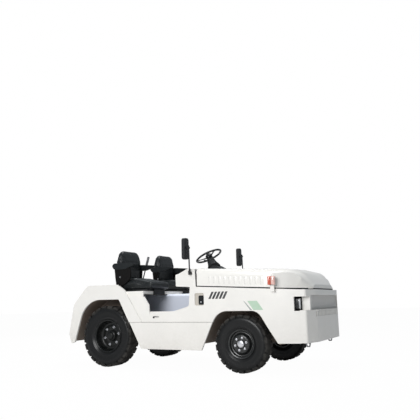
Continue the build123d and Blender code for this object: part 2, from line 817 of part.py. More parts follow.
def mirrors():
    y = -bodyHalf - 30
    foot = block(254, 288, -bodyHalf - 36, -bodyHalf, 1165, 1200)
    stem = bar((271, y, 1170), (262, y, 1530), 9)
    w, top, base = 55, 1626, 1357
    face = [(y - w, base, 36), (y - w, top, 36), (y + w, top, 36), (y + w, base, 36)]
    head = crossPlate(face, 192, 232)
    link = block(228, 264, y - 9, y + 9, 1488, 1512)
    return pair(foot + stem + head + link)


def headlamps():
    lens = block(pocketX, noseX - 2, -cornerHalf - 12, -pocketHalf - 4, pocketLow + 13, pocketTop - 13)
    return pair(lens & bodyPlan(8, 600, 1000))


def turnLamps():
    """Lamp bodies that stand off the sides on a foot from the panels."""
    skinY = -bodyHalf - 16
    x0, x1 = frontX - 460, frontX - 370
    lamp = block(x0, x1, skinY - 44, skinY, 1000, 1105) + block(x0 + 20, x1 - 20, skinY - 16, skinY, 925, 1005)
    foot = block(x0 + 20, x1 - 20, skinY - 4, skinY + 46, 925, 942) - bodyPlan(-seat, 900, 1100)
    return pair(lamp + foot)


def tailLamps():
    tilt = 10.2
    z = 640.0
    x = -1709 + (z - 422) * math.tan(math.radians(tilt))
    lamp = Pos(x - 17, -640, z + 3) * Rot(0, tilt, 0) * Box(32, 110, 150)
    return pair(lamp)


def rearCoupling():
    """Jaw on the rear plate: two ears with a vertical pin bore."""
    jaw = block(-1672, -1656, -140, 140, 310, 460)
    for y0, y1 in ((-90, -74), (74, 90)):
        jaw = jaw + block(-1720, -1660, y0, y1, 330, 440)
    for z0, z1 in ((322, 344), (426, 448)):
        jaw = jaw + planPlate([(-1660, -90, 0), (-1660, 90, 0), (-1770, 45, 0), (-1770, -45, 0)], z0, z1)
    bore = rod((-1742, 0, 300), (-1742, 0, 470), 16)
    return jaw - bore


def lashingEyes():
    """Tie-down plates under the bumper, each with a round hole."""
    top = bumperBottom
    rows = [(eyeX - 35, top, 0), (eyeX + 35, top, 0), (eyeX + 20, 290, 0), (eyeX - 20, 290, 0)]
    plate = sidePlate(rows, -eyeY - 7, -eyeY + 7)
    return pair(plate - rod((eyeX, -eyeY - 20, eyeZ), (eyeX, -eyeY + 20, eyeZ), eyeBore))


nodes = {
    "frame": frame,
    "front_bumper": frontBumper,
    "front_fascia": frontFascia,
    "front_grille": frontGrille,
    "side_panels": sidePanels,
    "sills": sills,
    "seat_side_panels": seatSidePanels,
    "rear_fenders": rearFenders,
    "rear_deck": rearDeck,
    "seat_box": seatBox,
    "tunnel": tunnel,
    "floor": floorPlate,
    "firewall": firewall,
    "cowl": cowl,
    "hood": hood,
    "engine_block": engineBlock,
    "radiator": radiator,
    "front_arch_liners": lambda: pair(frontArchLiner()),
    "rear_arch_liners": lambda: pair(rearArchLiner()),
    "leaf_springs": leafSprings,
    "front_axle_beam": frontAxleBeam,
    "rear_axle": rearAxle,
    "tie_rod": tieRod,
    "steering_wheel": steeringWheel,
    "steering_column": steeringColumn,
    "binnacle": binnacle,
    "pedals": pedals,
    "seat_cushions": seatCushions,
    "seat_backs": seatBacks,
    "seat_bases": seatBases,
    "hip_restraints": hipRestraints,
    "control_levers": controlLevers,
    "release_lever": releaseLever,
    "mirrors": mirrors,
    "headlamps": headlamps,
    "turn_lamps": turnLamps,
    "tail_lamps": tailLamps,
    "rear_coupling": rearCoupling,
    "lashing_eyes": lashingEyes,
}
for label, side in (("right", -1), ("left", 1)):
    nodes["knuckle_" + label] = lambda side=side: knuckle(side)
    nodes["front_tyre_" + label] = lambda side=side: lugTyre(frontTyre, side)
    nodes["front_wheel_" + label] = lambda side=side: frontWheel(side)
    nodes["rear_tyre_" + label] = lambda side=side: lugTyre(rearTyre, side)
    nodes["rear_wheel_" + label] = lambda side=side: rearWheel(side)

os.makedirs("parts", exist_ok=True)
for name, make in nodes.items():
    print(name)
    export_step(make(), f"parts/{name}.step")
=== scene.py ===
import json
import math

import bmesh
import bpy
from mathutils import Matrix, Vector, bvhtree


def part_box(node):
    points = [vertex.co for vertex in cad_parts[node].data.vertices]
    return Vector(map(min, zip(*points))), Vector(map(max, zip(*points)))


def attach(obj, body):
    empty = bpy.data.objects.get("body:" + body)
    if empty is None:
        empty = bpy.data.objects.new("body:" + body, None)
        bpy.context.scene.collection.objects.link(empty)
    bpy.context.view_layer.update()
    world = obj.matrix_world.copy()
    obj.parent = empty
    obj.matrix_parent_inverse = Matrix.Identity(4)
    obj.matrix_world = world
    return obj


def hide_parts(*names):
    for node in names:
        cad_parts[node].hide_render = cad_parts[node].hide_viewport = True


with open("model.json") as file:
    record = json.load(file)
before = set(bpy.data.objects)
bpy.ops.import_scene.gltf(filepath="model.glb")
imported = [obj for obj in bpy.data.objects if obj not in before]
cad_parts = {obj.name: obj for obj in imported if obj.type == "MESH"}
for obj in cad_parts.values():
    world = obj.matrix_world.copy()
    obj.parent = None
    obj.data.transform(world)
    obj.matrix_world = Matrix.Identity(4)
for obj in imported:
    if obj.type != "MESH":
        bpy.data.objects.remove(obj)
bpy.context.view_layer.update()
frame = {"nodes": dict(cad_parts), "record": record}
nodes = frame["nodes"]
joints = {j["name"]: Vector(j["pos_m"]) for j in frame["record"]["behaviour"]["joints"]}
sides = (("right", -1), ("left", 1))

view = dict(place=(3.506, -6.380, 0.827), yaw=0.484, pitch=0.177, roll=-0.021, lens=43.96)


def makeCamera():
    cosPitch = math.cos(view["pitch"])
    ahead = Vector((-math.sin(view["yaw"]) * cosPitch, math.cos(view["yaw"]) * cosPitch,
        math.sin(view["pitch"])))
    right = Vector((math.cos(view["yaw"]), math.sin(view["yaw"]), 0))
    up = right.cross(ahead)
    c, s = math.cos(view["roll"]), math.sin(view["roll"])
    across, above = c * right + s * up, -s * right + c * up
    data = bpy.data.cameras.new("camera")
    data.sensor_width = 36
    data.lens = view["lens"]
    camera = bpy.data.objects.new("camera", data)
    turn = Matrix((across, above, -ahead)).transposed()
    camera.matrix_world = Matrix.Translation(view["place"]) @ turn.to_4x4()
    bpy.context.scene.collection.objects.link(camera)
    bpy.context.scene.camera = camera


makeCamera()
print("camera set")


# a shader socket that takes part in plain expressions
class Wire:
    def __init__(self, graph, socket):
        self.graph, self.socket = graph, socket

    def math(self, operation, *others):
        return self.graph.node("ShaderNodeMath", dict(operation=operation),
            dict(enumerate((self, *others))))

    def __add__(self, other):
        return self.math("ADD", other)

    def __sub__(self, other):
        return self.math("SUBTRACT", other)

    def __rsub__(self, other):
        return self.graph.node("ShaderNodeMath", dict(operation="SUBTRACT"), {0: other, 1: self})

    def __mul__(self, other):
        return self.math("MULTIPLY", other)

    def __pow__(self, other):
        return self.math("POWER", other)

    __radd__, __rmul__ = __add__, __mul__


# a node tree of a finish or of the world
class Graph:
    def __init__(self, tree):
        self.tree = tree

    def plug(self, socket, value):
        if isinstance(value, Wire):
            self.tree.links.new(value.socket, socket)
        elif socket.type == "RGBA" and len(value) == 3:
            socket.default_value = (*value, 1)
        else:
            socket.default_value = value

    def node(self, kind, settings=None, sockets=None, out=0):
        made = self.tree.nodes.new(kind)
        for key, value in (settings or {}).items():
            setattr(made, key, value)
        for key, value in (sockets or {}).items():
            self.plug(made.inputs[key], value)
        return Wire(self, made.outputs[out])

    def ramp(self, value, low, high, start=0.0, end=1.0):
        return self.node("ShaderNodeMapRange", dict(clamp=True),
            {0: value, 1: low, 2: high, 3: start, 4: end})

    def mix(self, amount, first, second):
        return self.node("ShaderNodeMix", dict(data_type="RGBA"), {0: amount, 6: first, 7: second}, out=2)


class Finish(Graph):
    def __init__(self, name, **shader):
        self.material = bpy.data.materials.new(name)
        self.material.use_nodes = True
        super().__init__(self.material.node_tree)
        self.shader = self.tree.nodes["Principled BSDF"]
        self.feed(**shader)

    def feed(self, **values):
        for key, value in values.items():
            title = " ".join(word.capitalize() for word in key.split("_")).replace("Ior", "IOR")
            self.plug(self.shader.inputs[title], value)
        return self

    def place(self):
        return self.node("ShaderNodeTexCoord", out=3)

    def axis(self, i):
        return self.node("ShaderNodeSeparateXYZ", None, {0: self.place()}, out=i)

    def reach(self):
        x, z = self.axis(0), self.axis(2)
        return (x * x + z * z) ** 0.5

    def stretched(self, scale):
        return self.node("ShaderNodeVectorMath", dict(operation="MULTIPLY"), {0: self.place(), 1: scale})

    def noise(self, scale, detail=3, rough=0.55, place=None):
        sockets = dict(Vector=place or self.place(), Scale=scale, Detail=detail, Roughness=rough)
        return self.node("ShaderNodeTexNoise", None, sockets)

    def bump(self, height, strength, distance):
        sockets = dict(Height=height, Strength=strength, Distance=distance)
        return self.feed(normal=self.node("ShaderNodeBump", None, sockets))


colours = dict(
    # inner: the white footwell paint given a blue-grey tint, painted shade of sky light in the footwell
    white=(0.86, 0.835, 0.79), dust=(0.40, 0.35, 0.29), inner=(0.74, 0.78, 0.88), grille=(0.80, 0.79, 0.77),
    liner=(0.20, 0.155, 0.125), chassis=(0.016, 0.016, 0.018), iron=(0.06, 0.065, 0.07),
    rubber=(0.0036, 0.0038, 0.0039),
    rubberDust=(0.062, 0.058, 0.053), wheel=(0.0055, 0.0065, 0.0065), steel=(0.42, 0.42, 0.43),
    plastic=(0.010, 0.011, 0.012),
    vinyl=(0.008, 0.010, 0.011), leverGrey=(0.16, 0.16, 0.17), green=(0.44, 0.60, 0.45),
    slash=(0.33, 0.36, 0.34),
)


# painted sheet: faint orange peel, uneven tone, and road dust that thins out upward
def paintFinish(name, colour, dust, dustTop, rough=0.32, coat=0.35, peel=0.05):
    f = Finish(name, coat_roughness=0.12)
    cloud = f.noise(2.6, 4, 0.6)
    fine = f.noise(38.0, 5, 0.65)
    rise = f.ramp(f.axis(2) + (cloud - 0.5) * 0.25, 0.2, dustTop, 1.0, 0.0)
    grime = rise * rise * dust * f.ramp(fine, 0.25, 0.75, 0.35, 1.0)
    tone = f.mix(f.ramp(cloud, 0.3, 0.7), tuple(0.955 * c for c in colour), colour)
    f.feed(base_color=f.mix(grime, tone, colours["dust"]), coat_weight=f.ramp(grime, 0.0, 0.5, coat, 0.0))
    f.feed(roughness=f.ramp(grime + (fine - 0.5) * 0.12, 0.0, 0.5, rough, 0.75))
    f.bump(f.noise(420.0, 2) + fine * 0.6, peel, 0.0006)
    return f.material


# tyre rubber, seen from the wheel's own centre: dusty toward the tread, faint moulding rings on the wall
def rubberFinish(name, bead, radius):
    f = Finish(name, specular_ior_level=0.14, coat_roughness=0.24)
    reach = f.reach()
    cloud, fine = f.noise(9.0, 5, 0.65), f.noise(160.0, 4, 0.6)
    tread = f.ramp(reach, radius * 0.87, radius * 0.995)
    dust = f.ramp(cloud + tread * 0.45, 0.62, 1.0, 0.0, 0.9)
    f.feed(base_color=f.mix(dust, colours["rubber"], colours["rubberDust"]))
    f.feed(roughness=f.ramp(dust + fine * 0.2, 0.0, 0.7, 0.36, 0.85))
    f.feed(coat_weight=f.ramp(tread, 0.0, 0.5, 0.35, 0.0))
    rings = (reach * (2 * math.pi / 0.0035)).math("SINE") * f.ramp(reach, bead, bead + 0.03, 1.0, 0.0)
    f.bump(fine + rings * 0.35, 0.35, 0.0009)
    return f.material


# pressed wheel paint: gloss black, chipped to steel along the rim flange, a film of brake dust in the dish
def wheelFinish(name, rim, shine=0.5):
    f = Finish(name, specular_ior_level=shine)
    reach = f.reach()
    chips = f.ramp(f.noise(75.0, 6, 0.7) + f.ramp(reach, rim - 0.012, rim + 0.006, -0.34, 0.05), 0.66, 0.72)
    film = f.ramp(f.noise(14.0, 4, 0.6), 0.35, 0.8, 0.0, 0.22)
    bare = f.mix(film, colours["wheel"], colours["rubberDust"])
    f.feed(base_color=f.mix(chips, bare, colours["steel"]), metallic=chips,
        roughness=f.ramp(film + chips * 0.2, 0.0, 0.4, 0.24, 0.5))
    f.feed(coat_weight=f.ramp(chips, 0.0, 1.0, 0.5 * shine, 0.0))
    f.bump(f.noise(240.0, 3), 0.12, 0.0006)
    return f.material


# bare or plated steel with fine lengthwise marks
def steelFinish(name, colour, rough=0.32):
    f = Finish(name, metallic=1.0)
    marks = f.noise(260.0, 4, 0.7)
    stain = f.ramp(f.noise(22.0, 4), 0.45, 0.8, 0.0, 0.5)
    f.feed(base_color=f.mix(stain, colour, tuple(0.45 * c for c in colour)),
        roughness=f.ramp(marks + stain, 0.3, 1.3, rough, rough + 0.3))
    f.bump(marks, 0.15, 0.0004)
    return f.material


# moulded plastic with a fine spark-eroded grain
def plasticFinish(name, colour, rough=0.5, grain=0.35, shine=0.35):
    f = Finish(name, specular_ior_level=shine)
    pits = f.node("ShaderNodeTexVoronoi", None, dict(Vector=f.place(), Scale=900.0))
    wear = f.ramp(f.noise(18.0, 5, 0.65), 0.45, 0.85, 0.0, 0.4)
    f.feed(base_color=f.mix(wear, colour, tuple(1.9 * c + 0.004 for c in colour)),
        roughness=f.ramp(wear, 0.0, 0.4, rough, rough + 0.15))
    f.bump(pits, grain, 0.0005)
    return f.material


# coated seat vinyl: leather-like grain, tight wrinkles near the seams, a wiped gloss
def vinylFinish(name):
    f = Finish(name, coat_roughness=0.25, specular_ior_level=0.25)
    cells = f.node("ShaderNodeTexVoronoi", dict(feature="DISTANCE_TO_EDGE"),
        dict(Vector=f.place(), Scale=420.0))
    folds = f.noise(26.0, 4, 0.6, place=f.stretched((0.6, 1.0, 1.4)))
    scuff = f.ramp(f.noise(7.0, 5, 0.65), 0.5, 0.85)
    f.feed(base_color=f.mix(scuff * 0.5, colours["vinyl"], (0.018, 0.020, 0.021)),
        roughness=f.ramp(scuff, 0.0, 1.0, 0.36, 0.52))
    f.feed(coat_weight=f.ramp(scuff, 0.0, 1.0, 0.14, 0.04))
    f.bump(f.ramp(cells, 0.0, 0.12) * 0.35 + folds * 1.1, 0.35, 0.0014)
    return f.material


# clear or tinted moulded lens with fine flutes; glow is a faint painted glow of light through the unlit
# lens
def lensFinish(name, colour, flutes, glow=0.0):
    f = Finish(name, roughness=0.12, coat_weight=0.8, coat_roughness=0.05)
    ribs = (f.axis(1) * (2 * math.pi / flutes)).math("SINE") * 0.5 + 0.5
    f.feed(base_color=f.mix(ribs * 0.35, colour, tuple(0.6 * c for c in colour)))
    f.feed(emission_color=(*colour, 1), emission_strength=glow)
    f.bump(ribs + f.noise(90.0, 2) * 0.2, 0.5, 0.0015)
    return f.material


def mirrorFinish():
    f = Finish("mirrorGlass", metallic=1.0)
    f.feed(base_color=f.mix(f.noise(60.0, 3), (0.80, 0.83, 0.86), (0.72, 0.75, 0.78)),
        roughness=f.ramp(f.noise(35.0, 4), 0.3, 0.9, 0.02, 0.10))
    return f.material


# printed film: even ink with slight fading
def filmFinish(name, colour):
    f = Finish(name, coat_weight=0.25)
    fade = f.ramp(f.noise(24.0, 4), 0.35, 0.8, 0.0, 0.25)
    f.feed(base_color=f.mix(fade, colour, tuple(0.5 * c + 0.35 for c in colour)),
        roughness=f.ramp(fade, 0.0, 0.25, 0.35, 0.5))
    f.bump(f.noise(300.0, 2), 0.05, 0.0003)
    return f.material


finishes = dict(
    body=paintFinish("warmWhitePaint", colours["white"], 0.30, 0.95),
    hood=paintFinish("hoodWhitePaint", colours["white"], 0.03, 0.95, rough=0.3),
    # tunnel, floor and firewall paint: its blue-grey is painted shade, the real paint being white
    inner=paintFinish("innerPaintedSkyShade", colours["inner"], 0.25, 0.8, rough=0.45, coat=0.1),
    grille=paintFinish("grillePaint", colours["grille"], 0.2, 1.0, rough=0.45, coat=0.1),
    liner=paintFinish("wheelHouseCoat", colours["liner"], 0.5, 0.9, rough=0.8, coat=0.0, peel=0.5),
    chassis=paintFinish("chassisBlack", colours["chassis"], 0.35, 0.6, rough=0.5, coat=0.05, peel=0.3),
    iron=paintFinish("engineIron", colours["iron"], 0.3, 0.8, rough=0.6, coat=0.0, peel=0.6),
    frontRubber=rubberFinish("frontTyreRubber", 0.156, 0.3335),
    rearRubber=rubberFinish("rearTyreRubber", 0.206, 0.400),
    frontWheel=wheelFinish("frontWheelPaint", 0.166),
    rearWheel=wheelFinish("rearWheelPaint", 0.216, 0.2),
    steel=steelFinish("workedSteel", (0.30, 0.30, 0.31), 0.42),
    bright=steelFinish("platedSteel", (0.66, 0.66, 0.68), 0.22),
    plastic=plasticFinish("mouldedBlack", colours["plastic"]),
    gloss=plasticFinish("glossBlack", colours["plastic"], 0.22, 0.08),
    grip=plasticFinish("greyGrip", colours["leverGrey"], 0.45),
    shell=plasticFinish("seatShell", (0.0036, 0.0031, 0.0028), 0.6, 0.35, 0.12),
    # a darker beige than the body, standing in for the shade in the shallow latch pocket: painted shade
    recess=paintFinish("recessPaintedShade", (0.52, 0.48, 0.42), 0.1, 0.9, rough=0.5, coat=0.05),
    # seal rubber, also used as painted shade in the louvre mouths and the catch slot
    gap=plasticFinish("sealRubberAndPaintedShade", (0.006, 0.006, 0.006), 0.8),
    vinyl=vinylFinish("seatVinyl"),
    lens=lensFinish("clearLens", (0.62, 0.65, 0.68), 0.006),
    # the tinted lenses glow faintly: painted light, the lamps being off
    amber=lensFinish("amberLens", (0.62, 0.10, 0.05), 0.005, 0.05),
    pale=lensFinish("paleLens", (0.80, 0.50, 0.44), 0.005, 0.04),
    red=lensFinish("redLens", (0.62, 0.03, 0.02), 0.005, 0.06),
    mirror=mirrorFinish(),
    green=filmFinish("greenFilm", colours["green"]),
    slash=filmFinish("greySlashFilm", colours["slash"]),
    black=filmFinish("blackFilm", (0.012, 0.012, 0.013)),
)
print("finishes mixed")


# mesh helpers
creaseAngle = math.radians(32)


def roundEdges(made, width, segments):
    edge = made.modifiers.new("edge", "BEVEL")
    edge.width, edge.segments, edge.limit_method, edge.angle_limit = width, segments, "ANGLE", creaseAngle
    shade = made.modifiers.new("shade", "WEIGHTED_NORMAL")
    shade.weight, shade.keep_sharp = 80, False


def put(bm, name, finish, body="chassis", hide=(), at=(0, 0, 0), place=None,
        bevel=0.0, segments=2, sharp=35, smooth=True):
    if place:
        bmesh.ops.transform(bm, matrix=place, verts=bm.verts)
    bmesh.ops.recalc_face_normals(bm, faces=bm.faces)
    mesh = bpy.data.meshes.new(name)
    bm.to_mesh(mesh)
    bm.free()
    made = bpy.data.objects.new(name, mesh)
    bpy.context.scene.collection.objects.link(made)
    made.location = at
    mesh.materials.append(finishes[finish])
    if smooth:
        mesh.shade_smooth()
        mesh.set_sharp_from_angle(angle=math.radians(sharp))
    if bevel:
        roundEdges(made, bevel, segments)
    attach(made, body)
    if hide:
        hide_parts(*hide)


def ringLoft(bm, rings, closed=True, caps=True):
    rows = [[bm.verts.new(p) for p in ring] for ring in rings]
    for a, b in zip(rows, rows[1:]):
        n = len(a)
        for i in range(n if closed else n - 1):
            j = (i + 1) % n
            bm.faces.new((a[i], a[j], b[j], b[i]))
    if caps:
        bm.faces.new(rows[0][::-1])
        bm.faces.new(rows[-1])
    return rows


# a ring turned about the Y axis from (radius, along) corners
def spun(bm, profile, steps, side=1, closed=True):
    rows = []
    for k in range(steps):
        a = 2 * math.pi * k / steps
        rows.append([bm.verts.new((r * math.cos(a), side * w, r * math.sin(a))) for r, w in profile])
    for k in range(steps):
        a, b = rows[k], rows[(k + 1) % steps]
        for i in range(len(profile) if closed else len(profile) - 1):
            j = (i + 1) % len(profile)
            bm.faces.new((a[i], a[j], b[j], b[i]))


def box(bm, low, high, turn=None, at=None):
    corners = [Vector((x, y, z)) for x in (low[0], high[0]) for y in (low[1], high[1])
        for z in (low[2], high[2])]
    if turn:
        centre = Vector(at or [(a + b) / 2 for a, b in zip(low, high)])
        corners = [turn @ (c - centre) + centre for c in corners]
    v = [bm.verts.new(c) for c in corners]
    for ids in ((0, 1, 3, 2), (4, 6, 7, 5), (0, 4, 5, 1), (2, 3, 7, 6), (0, 2, 6, 4), (1, 5, 7, 3)):
        bm.faces.new([v[i] for i in ids])


# a prism on the side view: (x, z) corners between two widths
def sidePrism(bm, corners, y0, y1):
    ringLoft(bm, [[(x, y, z) for x, z in corners] for y in (y0, y1)])


def rounded(corners, radius, steps=4):
    out = []
    n = len(corners)
    for i in range(n):
        p, a, b = (Vector(corners[i]), Vector(corners[i - 1]), Vector(corners[(i + 1) % n]))
        u, v = (a - p), (b - p)
        r = min(radius, u.length * 0.49, v.length * 0.49)
        s, e = p + u.normalized() * r, p + v.normalized() * r
        out += [tuple((s * (1 - t) ** 2 + p * 2 * t * (1 - t) + e * t * t))
            for t in [k / steps for k in range(steps + 1)]]
    return out


def roundedBox(x0, x1, z0, z1, radius, steps=4):
    return rounded([(x0, z0), (x1, z0), (x1, z1), (x0, z1)], radius, steps)


# outlines on a plane across X, each grown from the same corners about their centre
def crossLoft(bm, corners, centre, rows):
    cy, cz = centre
    ringLoft(bm, [[(x, cy + (y - cy) * k, cz + (z - cz) * k) for y, z in corners] for x, k in rows])


def tube(bm, points, radius, sides=10, caps=True):
    points = [Vector(p) for p in points]
    radii = radius if isinstance(radius, (list, tuple)) else [radius] * len(points)
    rings = []
    across = None
    for i, p in enumerate(points):
        along = (points[min(i + 1, len(points) - 1)] - points[max(i - 1, 0)]).normalized()
        if across is None:
            across = along.orthogonal().normalized()
        across = (across - along * across.dot(along)).normalized()
        other = along.cross(across)
        turns = [2 * math.pi * k / sides for k in range(sides)]
        rings.append([p + radii[i] * (math.cos(t) * across + math.sin(t) * other) for t in turns])
    ringLoft(bm, rings, caps=caps)


def bolts(bm, places, radius, height, axis=(0, 1, 0), sides=6):
    axis = Vector(axis).normalized()
    for p in places:
        p = Vector(p)
        tube(bm, [p, p + axis * height * 0.8, p + axis * height], [radius, radius, radius * 0.8], sides)


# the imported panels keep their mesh: welded, edges rounded, and shaded from the larger faces
def soften(name, width, segments):
    made = nodes[name]
    weld = made.modifiers.new("weld", "WELD")
    weld.merge_threshold = 0.00002
    roundEdges(made, width, segments)


packed = dict(
    front_bumper=("body", 0.004), front_fascia=("body", 0.005), side_panels=("body", 0.004),
    sills=("body", 0.003),
    seat_side_panels=("body", 0.004), rear_fenders=("body", 0.004), rear_deck=("body", 0.005),
    seat_box=("body", 0.004),
    cowl=("hood", 0.005), hood=("hood", 0.006), tunnel=("inner", 0.003), floor=("inner", 0.002),
    firewall=("inner", 0.002),
    front_arch_liners=("liner", 0.002), rear_arch_liners=("liner", 0.002), front_grille=("grille", 0.002),
    frame=("chassis", 0.003), front_axle_beam=("chassis", 0.004), rear_axle=("chassis", 0.003),
    leaf_springs=("chassis", 0.001),
    rear_coupling=("chassis", 0.003), engine_block=("iron", 0.012), radiator=("chassis", 0.004),
    hip_restraints=("shell", 0.012),
    seat_bases=("plastic", 0.004), mirrors=("plastic", 0.006), binnacle=("plastic", 0.01),
    steering_column=("plastic", 0.002),
    steering_wheel=("plastic", 0.003), pedals=("grip", 0.002), control_levers=("plastic", 0.002),
    release_lever=("plastic", 0.002),
    headlamps=("lens", 0.003), turn_lamps=("amber", 0.004), tail_lamps=("red", 0.005),
    lashing_eyes=("steel", 0.002),
    tie_rod=("steel", 0.002), knuckle_right=("steel", 0.002), knuckle_left=("steel", 0.002),
    seat_cushions=("vinyl", 0.02), seat_backs=("vinyl", 0.02),
)
for name, made in nodes.items():
    finish, width = packed.get(name, ("chassis", 0.002))
    made.data.materials.clear()
    made.data.materials.append(finishes[finish])
    soften(name, width, 2 if width > 0.0025 else 1)
print("panels finished")


# road wheels
wheelSizes = dict(
    front=dict(place="front_wheel_{}_spin", bead=0.156, radius=0.3335, half=0.095, lugs=22, lug=0.0075,
        reach=0.030),
    rear=dict(place="rear_wheel_{}_spin", bead=0.206, radius=0.400, half=0.1075, lugs=24, lug=0.0085,
        reach=0.036),
)


def makeTyre(end, side, s):
    w = wheelSizes[end]
    rad, bead, half, lug = w["radius"], w["bead"], w["half"], w["lug"]
    base = rad - lug
    wall = rad - bead
    outer = [
        (bead + 0.001, 0.60 * half), (bead + 0.010, 0.70 * half), (bead + 0.016, 0.735 * half),
        (bead + 0.019, 0.72 * half),
        (bead + 0.032, 0.80 * half), (bead + 0.046, 0.872 * half), (bead + 0.050, 0.865 * half),
        (bead + 0.48 * wall, 0.955 * half), (bead + 0.62 * wall, 0.965 * half),
        (bead + 0.74 * wall, 0.95 * half),
        (bead + 0.76 * wall, 0.935 * half), (base - 0.022, 0.88 * half), (base - 0.008, 0.80 * half),
        (base, 0.68 * half), (base + 0.003, 0.3 * half),
    ]
    bm = bmesh.new()
    profile = outer + [(r, -v) for r, v in outer[::-1]]
    spun(bm, profile, 96, s)
    pitch = 2 * math.pi / w["lugs"]
    for k in range(w["lugs"]):
        for flank in (-1, 1):
            middle = pitch * (k + (0.0 if flank < 0 else 0.5))
            rows = []
            # each lug runs from low on the shoulder over the crown, narrowing and leaning toward the middle
            for r0, v, wide, lean in (
                (base - w["reach"], 0.935, 0.31, 0.0), (base - 0.006, 0.975, 0.36, 0.0),
                (rad - 0.006, 0.93, 0.38, 0.0),
                (rad - 0.001, 0.87, 0.385, 0.01), (rad, 0.60, 0.37, 0.06), (rad, 0.30, 0.33, 0.16),
                (rad - 0.0005, 0.07, 0.28, 0.26),
            ):
                c = middle + flank * lean * pitch * 0.6
                across = [c + t * wide * pitch for t in (-1, -0.86, 0, 0.86, 1)]
                drop = (0.0025, 0, 0, 0, 0.0025)
                rows.append([((r0 - d) * math.cos(a), s * flank * v * half, (r0 - d) * math.sin(a))
                    for a, d in zip(across, drop)])
            foot = []
            for row, (r0, v) in zip(rows,
                    ((base - w["reach"] - 0.004, 0.86), (base - 0.02, 0.84), (base - 0.012, 0.78),
                    (base - 0.008, 0.74), (base - 0.004, 0.55), (base - 0.002, 0.28),
                    (base - 0.002, 0.07))):
                foot.append([Vector((p[0], 0, p[2])).normalized() * r0 + Vector((0, s * flank * v * half,
                    0)) for p in row])
            top = [[bm.verts.new(p) for p in row] for row in rows]
            low = [[bm.verts.new(p) for p in row] for row in foot]
            for i in range(len(top) - 1):
                for j in range(4):
                    bm.faces.new((top[i][j], top[i][j + 1], top[i + 1][j + 1], top[i + 1][j]))
                for j in (0, 4):
                    bm.faces.new((top[i][j], top[i + 1][j], low[i + 1][j], low[i][j]))
            for i in (0, len(top) - 1):
                for j in range(4):
                    bm.faces.new((top[i][j], top[i][j + 1], low[i][j + 1], low[i][j]))
    at = joints[w["place"].format(side)]
    put(bm, f"{end}Tyre_{side}", f"{end}Rubber", f"{end}_wheel_{side}", hide=(f"{end}_tyre_{side}",),
        at=at, sharp=30)


rimShapes = dict(
    front=dict(
        rim=[(0.1535, -0.070), (0.1535, 0.058), (0.160, 0.0655), (0.1665, 0.0705), (0.1685, 0.0735),
            (0.1665, 0.0760), (0.158, 0.0745), (0.150, 0.070),
             (0.147, 0.060), (0.144, 0.044), (0.136, 0.040), (0.128, 0.041), (0.122, 0.047), (0.116, 0.058),
             (0.110, 0.072), (0.104, 0.082), (0.097, 0.0865),
             (0.088, 0.087), (0.058, 0.087), (0.050, 0.0865), (0.048, 0.080), (0.050, 0.074),
             (0.092, 0.074), (0.110, 0.040), (0.140, 0.032), (0.146, -0.070)],
        nuts=6, circle=0.073, face=0.087,
        hub=[(0.0, 0.0975), (0.024, 0.0975), (0.034, 0.0955), (0.040, 0.091), (0.043, 0.086),
            (0.045, 0.070)],
        hubFinish="bright", nut=0.0105),
    rear=dict(
        rim=[(0.2035, -0.084), (0.2035, 0.066), (0.210, 0.0735), (0.2165, 0.0785), (0.2185, 0.0815),
            (0.2165, 0.0845), (0.208, 0.083), (0.199, 0.078),
             (0.196, 0.066), (0.193, 0.040), (0.189, 0.012), (0.184, 0.004), (0.178, -0.012),
             (0.168, -0.020), (0.150, -0.024), (0.140, -0.021),
             (0.128, -0.016), (0.098, -0.014), (0.086, -0.018), (0.070, -0.024), (0.064, -0.024),
             (0.064, -0.036), (0.168, -0.036), (0.186, -0.022), (0.196, -0.084)],
        nuts=6, circle=0.118, face=-0.0145,
        hub=[(0.0, 0.034), (0.030, 0.034), (0.040, 0.031), (0.046, 0.024), (0.050, 0.010), (0.062, 0.006),
            (0.068, -0.002), (0.070, -0.030)],
        hubFinish="rearWheel", nut=0.0125),
)


